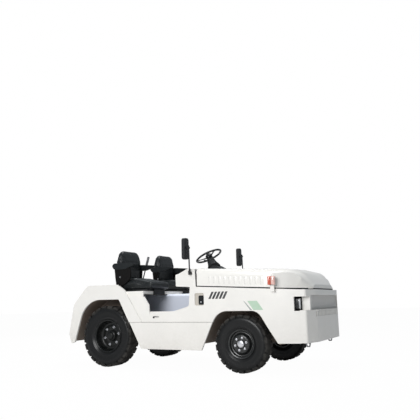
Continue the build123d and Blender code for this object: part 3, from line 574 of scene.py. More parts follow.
def makeWheel(end, side, s):
    shape = rimShapes[end]
    body, at = f"{end}_wheel_{side}", joints[wheelSizes[end]["place"].format(side)]
    bm = bmesh.new()
    spun(bm, shape["rim"], 72, s)
    put(bm, f"{end}Rim_{side}", f"{end}Wheel", body, hide=(f"{end}_wheel_{side}",),
        at=at, sharp=50)
    bm = bmesh.new()
    rows = []
    for k in range(40):
        a = 2 * math.pi * k / 40
        rows.append([bm.verts.new((r * math.cos(a), s * w, r * math.sin(a))) for r, w in shape["hub"][1:]])
    tip = bm.verts.new((0, s * shape["hub"][0][1], 0))
    for k in range(40):
        a, b = rows[k], rows[(k + 1) % 40]
        bm.faces.new((tip, a[0], b[0]))
        for i in range(len(a) - 1):
            bm.faces.new((a[i], a[i + 1], b[i + 1], b[i]))
    bm.faces.new([row[-1] for row in rows])
    put(bm, f"{end}Hub_{side}", shape["hubFinish"], body, at=at, sharp=50)
    # washer, nut and, behind, the end of the stud
    stack = [((0, 0.003, 0.0032), (1.35, 1.3, 1), 16), ((0, 0.0125, 0.0145), (1, 1, 0.8), 6)]
    if end == "rear":
        stack.append(((0, 0.024, 0.026), (0.55, 0.55, 0.4), 12))
    bm = bmesh.new()
    for k in range(shape["nuts"]):
        a = 2 * math.pi * (k + 0.25) / shape["nuts"]
        c, d = shape["circle"] * math.cos(a), shape["circle"] * math.sin(a)
        f, n = shape["face"], shape["nut"]
        for steps, widths, count in stack:
            tube(bm, [(c, s * (f + step), d) for step in steps], [n * wide for wide in widths], count)
    put(bm, f"{end}Nuts_{side}", "bright", body, at=at, sharp=30)
    # tyre valve
    bm = bmesh.new()
    r = wheelSizes[end]["bead"] - 0.012
    w = shape["rim"][7][1] - 0.012
    tube(bm, [(r * 0.97, s * w, 0), (r * 0.93, s * (w + 0.012), 0), (r * 0.91, s * (w + 0.022), 0)],
        [0.004, 0.0035, 0.003], 8)
    put(bm, f"{end}Valve_{side}", "gap", body, at=at)


for side, s in sides:
    for end in ("front", "rear"):
        makeTyre(end, side, s)
        makeWheel(end, side, s)
print("wheels fitted")


# seats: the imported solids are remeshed, blown up by a cloth pressure run, then sewn
seat = dict(voxel=0.009, cap=0.010, round=6, seam=0.0045, seamWidth=0.0055, piping=0.0042)


def applyModifiers(made):
    bpy.context.view_layer.update()
    graph = bpy.context.evaluated_depsgraph_get()
    mesh = bpy.data.meshes.new_from_object(made.evaluated_get(graph), depsgraph=graph)
    old = made.data
    made.modifiers.clear()
    made.data = mesh
    bpy.data.meshes.remove(old)


def puff(name, node):
    mesh = nodes[node].data.copy()
    mesh.transform(nodes[node].matrix_world)
    made = bpy.data.objects.new(name, mesh)
    bpy.context.scene.collection.objects.link(made)
    bpy.context.view_layer.objects.active = made
    remesh = made.modifiers.new("remesh", "REMESH")
    remesh.mode, remesh.voxel_size = "VOXEL", seat["voxel"]
    smooth = made.modifiers.new("smooth", "SMOOTH")
    smooth.factor, smooth.iterations = 0.5, seat["round"]
    applyModifiers(made)
    rest = [v.co.copy() for v in made.data.vertices]
    cloth = made.modifiers.new("cloth", "CLOTH")
    cloth.settings.quality = 4
    cloth.settings.use_pressure = True
    cloth.settings.uniform_pressure_force = 3.5
    cloth.settings.effector_weights.gravity = 0
    cloth.settings.tension_stiffness = 15
    cloth.settings.compression_stiffness = 15
    cloth.settings.bending_stiffness = 0.5
    scene = bpy.context.scene
    for step in range(1, 17):
        scene.frame_set(step)
    applyModifiers(made)
    scene.frame_set(1)
    for v, old in zip(made.data.vertices, rest):
        move = v.co - old
        if move.length > seat["cap"]:
            v.co = old + move.normalized() * seat["cap"]
    low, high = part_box(node)
    found = [[pick(v.co[i] for v in made.data.vertices) for i in range(3)] for pick in (min, max)]
    for v in made.data.vertices:
        v.co = Vector([low[i] + (high[i] - low[i]) * (v.co[i] - found[0][i]) / (found[1][i] - found[0][i])
            for i in range(3)])
    return made


# sewn lines pressed into the face of a pad: distance to each line in the pad's own plane
def sew(made, lines, facing):
    facing = Vector(facing)
    for v, n in [(v, v.normal.copy()) for v in made.data.vertices]:
        front = n.dot(facing)
        if front <= 0.15:
            continue
        flat = v.co - facing * v.co.dot(facing)
        for a, b in lines:
            a, b = Vector(a), Vector(b)
            t = max(0.0, min(1.0, (flat - a).dot(b - a) / (b - a).length_squared))
            away = (flat - (a + (b - a) * t)).length
            v.co -= n * seat["seam"] * front * math.exp(-((away / seat["seamWidth"]) ** 2))


def tubeRing(bm, points, radius, sides=8):
    n = len(points)
    rows = []
    for i, p in enumerate(points):
        along = (points[(i + 1) % n] - points[i - 1]).normalized()
        across = along.cross(Vector((0, 0, 1)))
        across = across.normalized() if across.length > 1e-3 else Vector((1, 0, 0))
        other = along.cross(across)
        turns = [2 * math.pi * k / sides for k in range(sides)]
        rows.append([bm.verts.new(p + radius * (math.cos(t) * across + math.sin(t) * other))
            for t in turns])
    for i in range(n):
        a, b = rows[i], rows[(i + 1) % n]
        for k in range(sides):
            j = (k + 1) % sides
            bm.faces.new((a[k], a[j], b[j], b[k]))


# piping sewn round a pad's face: an outline laid on the pad along one axis
def pipe(made, bm, corners, radius, axis, start):
    tree = bvhtree.BVHTree.FromPolygons([v.co for v in made.data.vertices],
        [p.vertices for p in made.data.polygons])
    way = Vector(axis)
    loop = rounded(corners, radius, 6)
    dense = []
    for a, b in zip(loop, loop[1:] + loop[:1]):
        a, b = Vector(a), Vector(b)
        count = max(1, int((b - a).length / 0.02))
        dense += [a + (b - a) * k / count for k in range(count) if (b - a).length > 1e-4]
    points = []
    for p in dense:
        hit = tree.ray_cast(p - way * start, way)[0]
        if hit:
            points.append(hit)
    for _ in range(3):
        points = [(points[i - 1] + 2 * p + points[(i + 1) % len(points)]) / 4 for i, p in enumerate(points)]
    tubeRing(bm, points, seat["piping"])


def finishPad(made, hide):
    for p in made.data.polygons:
        p.use_smooth = True
    made.data.materials.clear()
    made.data.materials.append(finishes["vinyl"])
    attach(made, "chassis")
    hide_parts(hide)


def makeSeats():
    low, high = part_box("seat_cushions")
    backLow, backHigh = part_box("seat_backs")
    inner = 0.232
    cushions, backs = puff("seatCushions", "seat_cushions"), puff("seatBacks", "seat_backs")
    cushionLines, backLines, trim = [], [], bmesh.new()
    for s in (-1, 1):
        y0, y1 = s * inner, s * high.y
        middle = (y0 + y1) / 2
        for x in (low.x + 0.17, low.x + 0.30, low.x + 0.42):
            cushionLines.append(((x, middle - 0.15, 0), (x, middle + 0.15, 0)))
        for z in (backLow.z + 0.15, backLow.z + 0.25):
            backLines.append(((0, middle - 0.15, z), (0, middle + 0.15, z)))
        for y in (middle - 0.15, middle + 0.15):
            cushionLines.append(((low.x + 0.05, y, 0), (high.x - 0.04, y, 0)))
            backLines.append(((0, y, backLow.z + 0.03), (0, y, backHigh.z - 0.09)))
        edge = 0.018
        a, b = min(y0, y1) + edge, max(y0, y1) - edge
        pipe(cushions, trim, [(low.x + 0.03, a, 1.4), (high.x - edge, a, 1.4), (high.x - edge, b, 1.4),
            (low.x + 0.03, b, 1.4)], 0.04, (0, 0, -1), 0.2)
        top, waist, foot = backHigh.z - edge, backHigh.z - 0.115, backLow.z + 0.02
        face = [(-0.5, a, foot), (-0.5, b, foot), (-0.5, b, waist), (-0.5, b - 0.034, top),
            (-0.5, a + 0.034, top), (-0.5, a, waist)]
        pipe(backs, trim, face, 0.06, (-1, 0, 0), 0.3)
    sew(cushions, cushionLines, (0, 0, 1))
    sew(backs, backLines, (1, 0, 0))
    finishPad(cushions, "seat_cushions")
    finishPad(backs, "seat_backs")
    put(trim, "seatPiping", "gloss")


makeSeats()
print("seats sewn")


# black seals in the gaps round the hood
def makeSeals():
    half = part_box("hood")[1].y
    edge = ((0.345, 1.0, 1.020), (1.265, 1.0, 0.974), (1.400, 0.960, 0.964), (1.500, 0.901, 0.961),
        (1.574, 0.834, 0.958), (1.637, 0.757, 0.957), (1.690, 0.668, 0.956), (1.722, 0.575, 0.955))
    bm = bmesh.new()
    line = [Vector((x, y * half - 0.010, z)) for x, y, z in edge]
    for s in (-1, 1):
        rings = []
        for p in line:
            rings.append([(p.x, s * (p.y + out), p.z + up)
                for out, up in ((-0.006, -0.011), (0.0096, -0.011), (0.0102, -0.005), (0.0096, 0.0),
                (-0.006, 0.0))])
        ringLoft(bm, rings)
    front = line[-1]
    box(bm, (front.x - 0.010, -front.y, front.z - 0.012), (front.x + 0.002, front.y, front.z + 0.003))
    # rear: up each side and over the top between cowl and hood
    side = [(0.345, half - 0.008, 1.018), (0.345, half - 0.008, 1.188),
        (0.345, 0.978 * half - 0.003, 1.2165), (0.345, 0.927 * half, 1.2295), (0.345, 0, 1.2435)]
    for s in (-1, 1):
        rings = []
        for x, y, z in side:
            aside, rise = (s, 0) if z < 1.2 else (0, 1)
            section = ((-0.0045, -0.008), (0.0042, -0.008), (0.0042, 0.0075), (-0.0045, 0.0075))
            rings.append([(x + ahead, s * y + aside * out, z + rise * (out - 0.004))
                for ahead, out in section])
        ringLoft(bm, rings)
    put(bm, "hoodSeal", "gap", smooth=False)
    # edge trim pushed onto the hood's own lip
    bm = bmesh.new()
    for s in (-1, 1):
        ringLoft(bm, [[(x, s * (y * half + out), z + up)
            for out, up in ((-0.006, -0.0005), (0.0006, -0.0005), (0.0006, 0.0062), (-0.006, 0.0062))]
            for x, y, z in edge])
        ringLoft(bm, [[(0.3502 + ahead, s * (half + out), z)
            for ahead, out in ((-0.001, -0.006), (-0.001, 0.0006), (0.0052, 0.0006), (0.0052, -0.006))]
            for z in (1.020, 1.100, 1.178)])
    box(bm, (front.x + 0.004, -front.y, front.z - 0.001), (front.x + 0.0105, front.y, front.z + 0.005))
    put(bm, "hoodLipTrim", "gap", "hood", smooth=False)


# pressed louvres over the hood's slots, open to the rear, with a black slab in each mouth as painted shade
louvres = dict(count=11, first=0.540, pitch=0.068, high=1.091, slope=0.0503)


def makeLouvres():
    shells, mouths = bmesh.new(), bmesh.new()
    y0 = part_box("hood")[1].y
    for k in range(louvres["count"]):
        x = louvres["first"] + louvres["pitch"] * k
        z = louvres["high"] - louvres["slope"] * (x - louvres["first"])
        for s in (-1, 1):
            rings = []
            for t in (-0.052, -0.046, -0.030, 0.0, 0.030, 0.046, 0.052):
                rise = 0.0055 * (1 - (t / 0.0525) ** 4)
                ring = [(x - 0.012, -0.004), (x - 0.012, rise - 0.0012), (x - 0.004, rise),
                    (x + 0.008, rise * 0.55), (x + 0.018, 0.0004), (x + 0.018, -0.004)]
                rings.append([(a, s * (y0 + b - 0.0008), z + t) for a, b in ring])
            ringLoft(shells, rings)
            # black slab across each mouth: painted shade of the hollow under the louvre
            y = s * (y0 + 0.0001)
            box(mouths, (x - 0.0135, y - 0.002, z - 0.040), (x - 0.0118, y + 0.002, z + 0.040))
    put(shells, "hoodLouvres", "hood", "hood", sharp=60)
    put(mouths, "louvreMouthShade", "gap", "hood", smooth=False)


bodySide = 0.780


# flat film on both side panels: five leaning stripes, and a slanted panel with a thin bar beside it
film = dict(stripes=5, first=0.513, pitch=0.0470, wide=0.031, lean=0.045, low=0.860, high=0.946,
    thick=0.0005)


def makeFilm():
    for name, s in sides:
        near, far = s * bodySide, s * (bodySide + film["thick"])
        bm = bmesh.new()
        for k in range(film["stripes"]):
            x = film["first"] + film["pitch"] * k
            corners = [(x, film["low"]), (x + film["wide"], film["low"]),
                (x + film["wide"] + film["lean"], film["high"]), (x + film["lean"], film["high"])]
            sidePrism(bm, corners, near, far)
        put(bm, f"stripes_{name}", "black", smooth=False)
        bm = bmesh.new()
        sidePrism(bm, [(1.030, 0.828), (1.150, 0.828), (1.228, 0.722), (1.104, 0.722)], near, far)
        put(bm, f"greenPanel_{name}", "green", smooth=False)
        bm = bmesh.new()
        sidePrism(bm, [(0.980, 0.828), (0.988, 0.828), (1.088, 0.722), (1.062, 0.722)], near, far)
        put(bm, f"slantedBar_{name}", "slash", smooth=False)


# paddle latch in its recess, its floor a darker plate of painted shade, a small hook on the step panel, and
# the slot of the front catch, filled by a black plug of painted shade
def makeLatches():
    for name, s in sides:
        bm = bmesh.new()
        # a thin darker plate over the recess floor: painted shade of the pocket, not a paint of its own
        sidePrism(bm, roundedBox(0.3225, 0.4495, 0.7855, 0.9345, 0.0195, 6), s * 0.7690, s * 0.7703)
        put(bm, f"latchRecessShade_{name}", "recess", smooth=False)
        bm = bmesh.new()
        plate = roundedBox(0.372, 0.446, 0.794, 0.906, 0.016)
        sidePrism(bm, plate, s * 0.7695, s * 0.7735)
        paddle = rounded([(0.384, 0.808), (0.434, 0.808), (0.434, 0.880), (0.384, 0.896)], 0.014)
        sidePrism(bm, paddle, s * 0.7735, s * 0.7785)
        put(bm, f"latch_{name}", "gloss", bevel=0.0018)
        bm = bmesh.new()
        tube(bm, [(0.409, s * 0.7784, 0.826), (0.409, s * 0.7796, 0.826)], 0.009, 20)
        put(bm, f"latchLock_{name}", "bright")
        bm = bmesh.new()
        tube(bm, [(-0.284, s * bodySide, 0.645), (-0.284, s * 0.7905, 0.645)], 0.011, 14)
        tube(bm, [(-0.284, s * 0.788, 0.637), (-0.284, s * 0.788, 0.653), (-0.262, s * 0.789, 0.653),
            (-0.212, s * 0.786, 0.650), (-0.204, s * 0.781, 0.650)],
             [0.006, 0.0065, 0.0045, 0.0035, 0.003], 10)
        put(bm, f"stepHook_{name}", "gloss")
    # a black plug just inside the catch slot: painted shade of the opening
    bm = bmesh.new()
    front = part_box("front_fascia")[1].x
    slot = [(-0.205 + 0.006 * math.cos(a), 0.900 + 0.016 * math.sin(a))
        for a in [math.pi * k / 8 for k in range(16)]]
    ringLoft(bm, [[(x, y, z) for y, z in slot] for x in (front - 0.004, front - 0.0002)])
    put(bm, "catchSlotShade", "gap", smooth=False)


# side lamps: a pale housing with a red end lens and a pale front lens
def makeTurnLamps():
    for name, s in sides:
        a, b = s * 0.796, s * 0.840
        bm = bmesh.new()
        foot = roundedBox(1.331, 1.379, 0.926, 1.004, 0.006)
        sidePrism(bm, foot, a, s * 0.802)
        box(bm, (1.331, min(s * 0.757, a), 0.926), (1.379, max(s * 0.757, a), 0.936))
        put(bm, f"lampFoot_{name}", "body", hide=("turn_lamps",), bevel=0.0015)
        bm = bmesh.new()
        sidePrism(bm, roundedBox(1.322, 1.392, 1.001, 1.104, 0.014), a, s * 0.806)
        put(bm, f"lampBase_{name}", "gap", bevel=0.001)
        for part, x0, x1, finish in (("rear", 1.310, 1.3495, "amber"), ("front", 1.3505, 1.400, "pale")):
            bm = bmesh.new()
            outline = roundedBox(x0, x1, 1.003, 1.102, 0.010)
            rings = []
            for y, grow in ((s * 0.806, 0), (s * 0.828, 0), (s * 0.836, -0.004), (b - s * 0.0003, -0.011)):
                cx, cz = (x0 + x1) / 2, 1.0525
                kx, kz = 1 + grow * 2 / (x1 - x0), 1 + grow * 2 / 0.099
                rings.append([(cx + (x - cx) * kx, y, cz + (z - cz) * kz) for x, z in outline])
            ringLoft(bm, rings)
            put(bm, f"lampLens_{part}_{name}", finish, sharp=50)


# headlamps: a black can in the outer rear corner of each pocket, glass and bezel ahead
def makeHeadlamps():
    low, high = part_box("headlamps")
    x0, x1, z0, z1 = low.x, high.x, low.z + 0.004, high.z - 0.004
    for name, s in sides:
        inner, outer = s * (high.y - 0.072), s * (high.y - 0.006)
        bm = bmesh.new()
        corners = roundedBox(inner, outer, z0, z1, 0.022)
        centre = (inner + outer) / 2, (z0 + z1) / 2
        crossLoft(bm, corners, centre,
            ((x0, 0.80), (x0 + 0.012, 0.97), (x0 + 0.018, 1.0), (x1 - 0.012, 1.0), (x1 - 0.008, 0.95)))
        put(bm, f"lampCan_{name}", "gloss", hide=("headlamps",), sharp=50)
        for label, finish, rows in (
            ("bezel", "bright", ((x1 - 0.012, 0.93), (x1 - 0.004, 0.93), (x1 - 0.0035, 0.88),
                (x1 - 0.008, 0.86))),
            ("glass", "lens", ((x1 - 0.008, 0.86), (x1 - 0.004, 0.84), (x1 - 0.002, 0.70),
                (x1 - 0.0008, 0.30))),
        ):
            bm = bmesh.new()
            crossLoft(bm, corners, centre, rows)
            put(bm, f"lamp_{label}_{name}", finish, sharp=50)


# tail lamps: three stacked lenses in a black frame, square to the leaning rear panel
def makeTailLamps():
    low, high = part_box("tail_lamps")
    lean = Matrix.Rotation(math.radians(10.2), 4, "Y")
    for name, s in sides:
        place = Matrix.Translation(((low.x + high.x) / 2, s * 0.640, (low.z + high.z) / 2)) @ lean
        parts = [("frame", "plastic", -0.075, 0.075, -0.002, 0.0155, 0.055)]
        lenses = (("stop", "red", 0.022, 0.069), ("turn", "amber", -0.026, 0.020),
            ("reverse", "lens", -0.069, -0.028))
        parts += [(*lens, -0.0150, -0.002, 0.049) for lens in lenses]
        for label, finish, z0, z1, x0, x1, half in parts:
            bm = bmesh.new()
            corners = roundedBox(-half, half, z0, z1, 0.009)
            crossLoft(bm, corners, (0, (z0 + z1) / 2), ((x1, 1.0), (x0 + 0.003, 1.0), (x0, 0.94)))
            put(bm, f"tailLamp_{label}_{name}", finish, hide=("tail_lamps",), sharp=50,
                place=place)


# mirrors: glass in the rear face, a clamp round each stem and two screws in each foot
def makeMirrors():
    for name, s in sides:
        y = s * 0.810
        bm = bmesh.new()
        face = roundedBox(y - 0.047, y + 0.047, 1.366, 1.617, 0.030, 6)
        ringLoft(bm, [[(x, a, b) for a, b in face] for x in (0.1905, 0.1925)])
        put(bm, f"mirrorGlass_{name}", "mirror", smooth=False)
        bm = bmesh.new()
        rim = roundedBox(y - 0.0535, y + 0.0535, 1.3585, 1.6245, 0.035, 6)
        inner = [(y + (a - y) * 0.90, 1.4915 + (b - 1.4915) * 0.955) for a, b in rim]
        ringLoft(bm, [[(x, a, b) for a, b in ring]
            for x, ring in ((0.194, rim), (0.1895, rim), (0.1895, inner), (0.194, inner))], caps=False)
        put(bm, f"mirrorRim_{name}", "plastic", sharp=40)
        bm = bmesh.new()
        for z in (1.500, 1.204):
            tube(bm, [(0.2655, y, z - 0.010), (0.2655, y, z + 0.010)], 0.014, 14)
        tube(bm, [(0.271, y, 1.166), (0.271, y, 1.182)], [0.018, 0.013], 14)
        bolts(bm, [(0.262, y + s * 0.0055, 1.190), (0.262, y + s * 0.0055, 1.176)], 0.0045, 0.004,
            (0, s, 0))
        put(bm, f"mirrorClamp_{name}", "plastic")


steerPlace = Matrix.Translation((-0.097, 0.405, 1.500)) @ Matrix.Rotation(-math.radians(26), 4, "Y")


# steering wheel: thick rim with finger grips under it, three dished spokes, padded hub with a horn button
def makeSteeringWheel():
    bm = bmesh.new()
    radius, tubeR = 0.192, 0.0158
    rows = []
    for k in range(96):
        a = 2 * math.pi * k / 96
        grip = 0.0011 * (1 - math.cos(24 * a)) / 2
        ring = []
        for j in range(14):
            c = 2 * math.pi * j / 14
            r = tubeR - (grip if math.sin(c) < -0.1 else 0)
            ring.append(bm.verts.new(((radius + r * math.cos(c)) * math.cos(a),
                (radius + r * math.cos(c)) * math.sin(a), r * math.sin(c) * 0.95)))
        rows.append(ring)
    for k in range(96):
        a, b = rows[k], rows[(k + 1) % 96]
        for j in range(14):
            i = (j + 1) % 14
            bm.faces.new((a[j], a[i], b[i], b[j]))
    for deg in (90, 210, 330):
        t = math.radians(deg)
        along, across = Vector((math.cos(t), math.sin(t), 0)), Vector((-math.sin(t), math.cos(t), 0))
        rings = []
        for d, wide, deep, drop in ((0.030, 0.026, 0.010, -0.016), (0.070, 0.020, 0.008, -0.014),
                (0.120, 0.015, 0.006, -0.008), (0.160, 0.015, 0.006, -0.003), (0.188, 0.020, 0.007, 0.0)):
            ring = []
            for q in range(10):
                c = 2 * math.pi * q / 10
                ring.append(along * d + across * wide * math.cos(c) + Vector((0, 0,
                    drop + deep * math.sin(c))))
            rings.append(ring)
        ringLoft(bm, rings)
    tube(bm, [(0, 0, z) for z in (-0.034, -0.026, 0.012, 0.022, 0.025)],
        [0.040, 0.050, 0.050, 0.044, 0.036], 36)
    put(bm, "steeringRim", "gloss", "steering_wheel", hide=("steering_wheel",), sharp=50, place=steerPlace)
    bm = bmesh.new()
    tube(bm, [(0, 0, z) for z in (0.020, 0.033, 0.038, 0.040)], [0.031, 0.031, 0.027, 0.016], 32)
    put(bm, "hornButton", "plastic", "steering_wheel", sharp=50, place=steerPlace)


# column shroud with a seam band, rubber bellows at its foot, and a stalk on each side
def makeColumn():
    bm = bmesh.new()
    tube(bm, [(0, 0, z) for z in (-0.037, -0.041, -0.085, -0.120, -0.150)],
        [0.042, 0.050, 0.058, 0.068, 0.078], 28)
    tube(bm, [(0, 0, -0.088), (0, 0, -0.094)], 0.0625, 28)
    for s, turn in ((1, 0.10), (-1, -0.16)):
        root, tip = Vector((-0.010, s * 0.040, -0.066)), Vector((-0.030, s * 0.150, -0.050 + turn * 0.1))
        tube(bm, [root, root.lerp(tip, 0.4), root.lerp(tip, 0.75), root.lerp(tip, 0.78), tip,
            tip.lerp(root, -0.02)], [0.006, 0.0045, 0.0045, 0.009, 0.0095, 0.004], 12)
    put(bm, "columnShroud", "plastic", sharp=40, place=steerPlace)
    bm = bmesh.new()
    rows = []
    for k in range(13):
        z = -0.150 - 0.0045 * k
        rows.append((z, 0.080 + 0.0016 * k + (0.004 if k % 2 else 0)))
    tube(bm, [(0, 0, z) for z, r in rows], [r for z, r in rows], 28)
    put(bm, "columnBellows", "gap", sharp=70, place=steerPlace)


# instruments on the sloping rear face of the binnacle: two dials, a lamp row, key and switches
def makeInstruments():
    a, b = Vector((0.020, 0, 1.215)), Vector((-0.024, 0, 1.330))
    up = (b - a).normalized()
    out = Vector((-up.z, 0, up.x))
    turn = Matrix((out, Vector((0, 1, 0)), up)).transposed().to_4x4()
    for label, y in (("fuel", 0.340), ("heat", 0.470)):
        place = Matrix.Translation(a + up * 0.055 + Vector((0, y, 0))) @ turn
        bm = bmesh.new()
        tube(bm, [(0.0, 0, 0), (0.003, 0, 0), (0.003, 0, 0), (0.001, 0, 0)], [0.027, 0.026, 0.023, 0.0225],
            32)
        put(bm, f"dialBezel_{label}", "bright", place=place)
        bm = bmesh.new()
        for k in range(9):
            t = math.radians(220 - 32.5 * k)
            c, d = math.cos(t), math.sin(t)
            box(bm, (0.0026, 0.0185 * c - 0.0006, 0.0185 * d - 0.0028),
                (0.0030, 0.0185 * c + 0.0006, 0.0185 * d + 0.0028),
                Matrix.Rotation(t - math.pi / 2, 3, "X"))
        tube(bm, [(0.0030, 0, 0), (0.0030, -0.006, 0.014)], [0.0012, 0.0004], 6)
        # the pale lens finish makes the marks glow faintly: painted light
        put(bm, f"dialMarks_{label}", "pale", smooth=False, place=place)
    bm = bmesh.new()
    for y in (0.375, 0.395, 0.415, 0.435):
        p = a + up * 0.095 + Vector((0, y, 0))
        tube(bm, [p, p + out * 0.003], 0.0045, 12)
    put(bm, "warningLamps", "red")
    bm = bmesh.new()
    p = a + up * 0.030 + Vector((0, 0.405, 0))
    tube(bm, [p, p + out * 0.004, p + out * 0.006], [0.013, 0.012, 0.009], 20)
    box(bm, p + out * 0.006 - Vector((0, 0.0015, 0.008)), p + out * 0.006 + Vector((-0.014, 0.0015, 0.008)))
    put(bm, "keySwitch", "bright")


# moulded floor mats with lengthwise ribs
def makeMats():
    low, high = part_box("floor")
    bm = bmesh.new()
    for s in (-1, 1):
        y0, y1 = 0.215, 0.735
        x0, x1 = low.x + 0.05, 0.215
        box(bm, (x0, min(s * y0, s * y1), high.z), (x1, max(s * y0, s * y1), high.z + 0.004))
        for k in range(20):
            y = s * (y0 + 0.018 + k * 0.0255)
            box(bm, (x0 + 0.02, y - 0.0045, high.z + 0.0035), (x1 - 0.02, y + 0.0045, high.z + 0.0065))
    put(bm, "floorMats", "gap", bevel=0.001)


# lever gaiters and knobs, the grip of the release lever, pads on the pedals
def makeControls():
    bm = bmesh.new()
    for x, y, z in ((-0.250, 0.060, 0.956), (-0.130, -0.060, 0.956), (-1.034, 0.0, 1.092)):
        rows = [(z + 0.005 * k, 0.030 - 0.0021 * k + (0.0022 if k % 2 else 0)) for k in range(9)]
        lean = -0.10 if x > -0.5 else 0.30
        tube(bm, [(x + lean * (a - z), y, a) for a, r in rows], [r for a, r in rows], 20)
    put(bm, "leverGaiters", "gap", sharp=70)
    bm = bmesh.new()
    top, way = Vector((-0.296, 0.060, 1.150)), Vector((-0.2, 0, 1)).normalized()
    rows = [(-0.050, 0.010), (-0.040, 0.017), (-0.020, 0.0225), (0.0, 0.021), (0.008, 0.014),
        (0.010, 0.004)]
    tube(bm, [top + way * (d - 0.012) for d, r in rows], [r for d, r in rows], 24)
    put(bm, "leverKnob", "gloss", sharp=60)
    bm = bmesh.new()
    foot, head = Vector((-1.034, 0, 1.086)), Vector((-0.907, 0, 1.506))
    way = (head - foot).normalized()
    rows = [(0.312, 0.012)] + [(0.318 + 0.012 * k, 0.0175 + (0.0012 if k % 2 else 0))
        for k in range(10)] + [(0.434, 0.015), (0.439, 0.006)]
    tube(bm, [foot + way * d for d, r in rows], [r for d, r in rows], 20)
    put(bm, "releaseGrip", "grip", sharp=60)
    # each pad lies along the lower end of its arm, ribbed toward the driver
    pads, ribs = bmesh.new(), bmesh.new()
    up, face = Vector((0.557, 0, 0.8305)), Vector((-0.8305, 0, 0.557))
    turn = Matrix((up, Vector((0, 1, 0)), face)).transposed()
    for y, w in ((0.300, 0.060), (0.405, 0.080), (0.510, 0.060)):
        centre = Vector((0.190, y, 0.800)) + up * 0.020 + face * 0.012
        size = Vector((0.036, w / 2, 0.0055))
        box(pads, centre - size, centre + size, turn)
        for k in range(6):
            p = centre + up * (0.012 * k - 0.030) + face * 0.0055
            size = Vector((0.003, w / 2 - 0.006, 0.002))
            box(ribs, p - size, p + size, turn)
    put(pads, "pedalPads", "plastic", bevel=0.002)
    put(ribs, "pedalRibs", "gap", smooth=False)


# U-bolts over the springs, and bolts round the rear axle's cover
def makeRunningGear():
    bm = bmesh.new()
    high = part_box("leaf_springs")[1]
    frontAxleX, rearAxleX = 0.925, -1.055
    for axleX in (frontAxleX, rearAxleX):
        for s in (-1, 1):
            y = s * (high.y - 0.030) if high.y < 0.5 else s * 0.315
            for dx in (-0.055, 0.055):
                for dy in (-0.034, 0.034):
                    tube(bm, [(axleX + dx, y + dy, 0.300), (axleX + dx, y + dy, 0.445)], 0.006, 10)
                    tube(bm, [(axleX + dx, y + dy, 0.306), (axleX + dx, y + dy, 0.318)], 0.012, 6)
    put(bm, "springBolts", "steel")
    bm = bmesh.new()
    for k in range(10):
        a = 2 * math.pi * k / 10
        p = Vector((rearAxleX + 0.128 * math.cos(a), 0, 0.400 + 0.128 * math.sin(a)))
        bolts(bm, [p + Vector((0, 0.060, 0))], 0.008, 0.012, (0, 1, 0))
    put(bm, "axleBolts", "steel")


# radiator fins and cap; valve cover, air cleaner, hoses, pulleys and fan
def makeEngineBay():
    low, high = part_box("radiator")
    bm = bmesh.new()
    count = 46
    for k in range(count):
        y = low.y + 0.020 + (high.y - low.y - 0.040) * k / (count - 1)
        for x in (low.x - 0.003, high.x - 0.001):
            box(bm, (x, y - 0.0014, low.z + 0.055), (x + 0.004, y + 0.0014, high.z - 0.060))
    put(bm, "radiatorFins", "steel", smooth=False)
    bm = bmesh.new()
    mid = (low.x + high.x) / 2
    tube(bm, [(mid, 0.12, high.z - 0.002), (mid, 0.12, high.z + 0.014), (mid, 0.12, high.z + 0.018)],
        [0.026, 0.026, 0.022], 24)
    put(bm, "radiatorCap", "bright")
    eLow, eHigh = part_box("engine_block")
    fanZ = 0.930
    bm = bmesh.new()
    sidePrism(bm, rounded([(eLow.x + 0.06, eHigh.z - 0.001), (eHigh.x - 0.14, eHigh.z - 0.001),
        (eHigh.x - 0.16, eHigh.z + 0.050), (eLow.x + 0.08, eHigh.z + 0.050)], 0.015), -0.085, 0.085)
    for k in range(9):
        x = eLow.x + 0.11 + 0.045 * k
        box(bm, (x, -0.060, eHigh.z + 0.048), (x + 0.012, 0.060, eHigh.z + 0.056))
    put(bm, "valveCover", "iron", bevel=0.004)
    bm = bmesh.new()
    tube(bm, [(eLow.x + 0.16, -0.17, eHigh.z + 0.030), (eLow.x + 0.44, -0.17, eHigh.z + 0.030)], 0.052, 28)
    tube(bm, [(eLow.x + 0.44, -0.17, eHigh.z + 0.030), (eLow.x + 0.50, -0.17, eHigh.z + 0.030),
        (eLow.x + 0.56, -0.10, eHigh.z + 0.030)], 0.030, 18)
    tube(bm, [(eHigh.x - 0.02, 0.06, eHigh.z - 0.030), (eHigh.x + 0.10, 0.10, eHigh.z - 0.020),
        (low.x + 0.01, 0.10, high.z - 0.050)], 0.022, 16)
    put(bm, "airCleaner", "plastic", sharp=50)
    bm = bmesh.new()
    for y, z, r in ((0.0, 0.700, 0.085), (0.13, 0.890, 0.050), (0.0, fanZ, 0.062)):
        tube(bm, [(eHigh.x + d, y, z) for d in (0, 0.012, 0.018, 0.024, 0.036)], [r, r, r - 0.010, r, r],
            28)
    tube(bm, [(eHigh.x + d, 0, fanZ) for d in (0.034, 0.044, 0.056)], [0.040, 0.058, 0.056], 28)
    for k in range(6):
        a = math.pi / 3 * k
        root = Vector((eHigh.x + 0.050, 0, fanZ))
        tip = root + Vector((0, 0.150 * math.cos(a), 0.105 * math.sin(a)))
        middle, size = root.lerp(tip, 0.6), Vector((0.003, 0.040, 0.022))
        box(bm, middle - size, middle + size, Matrix.Rotation(a, 3, "X") @ Matrix.Rotation(0.5, 3, "Y"))
    put(bm, "pulleys", "steel", sharp=40)


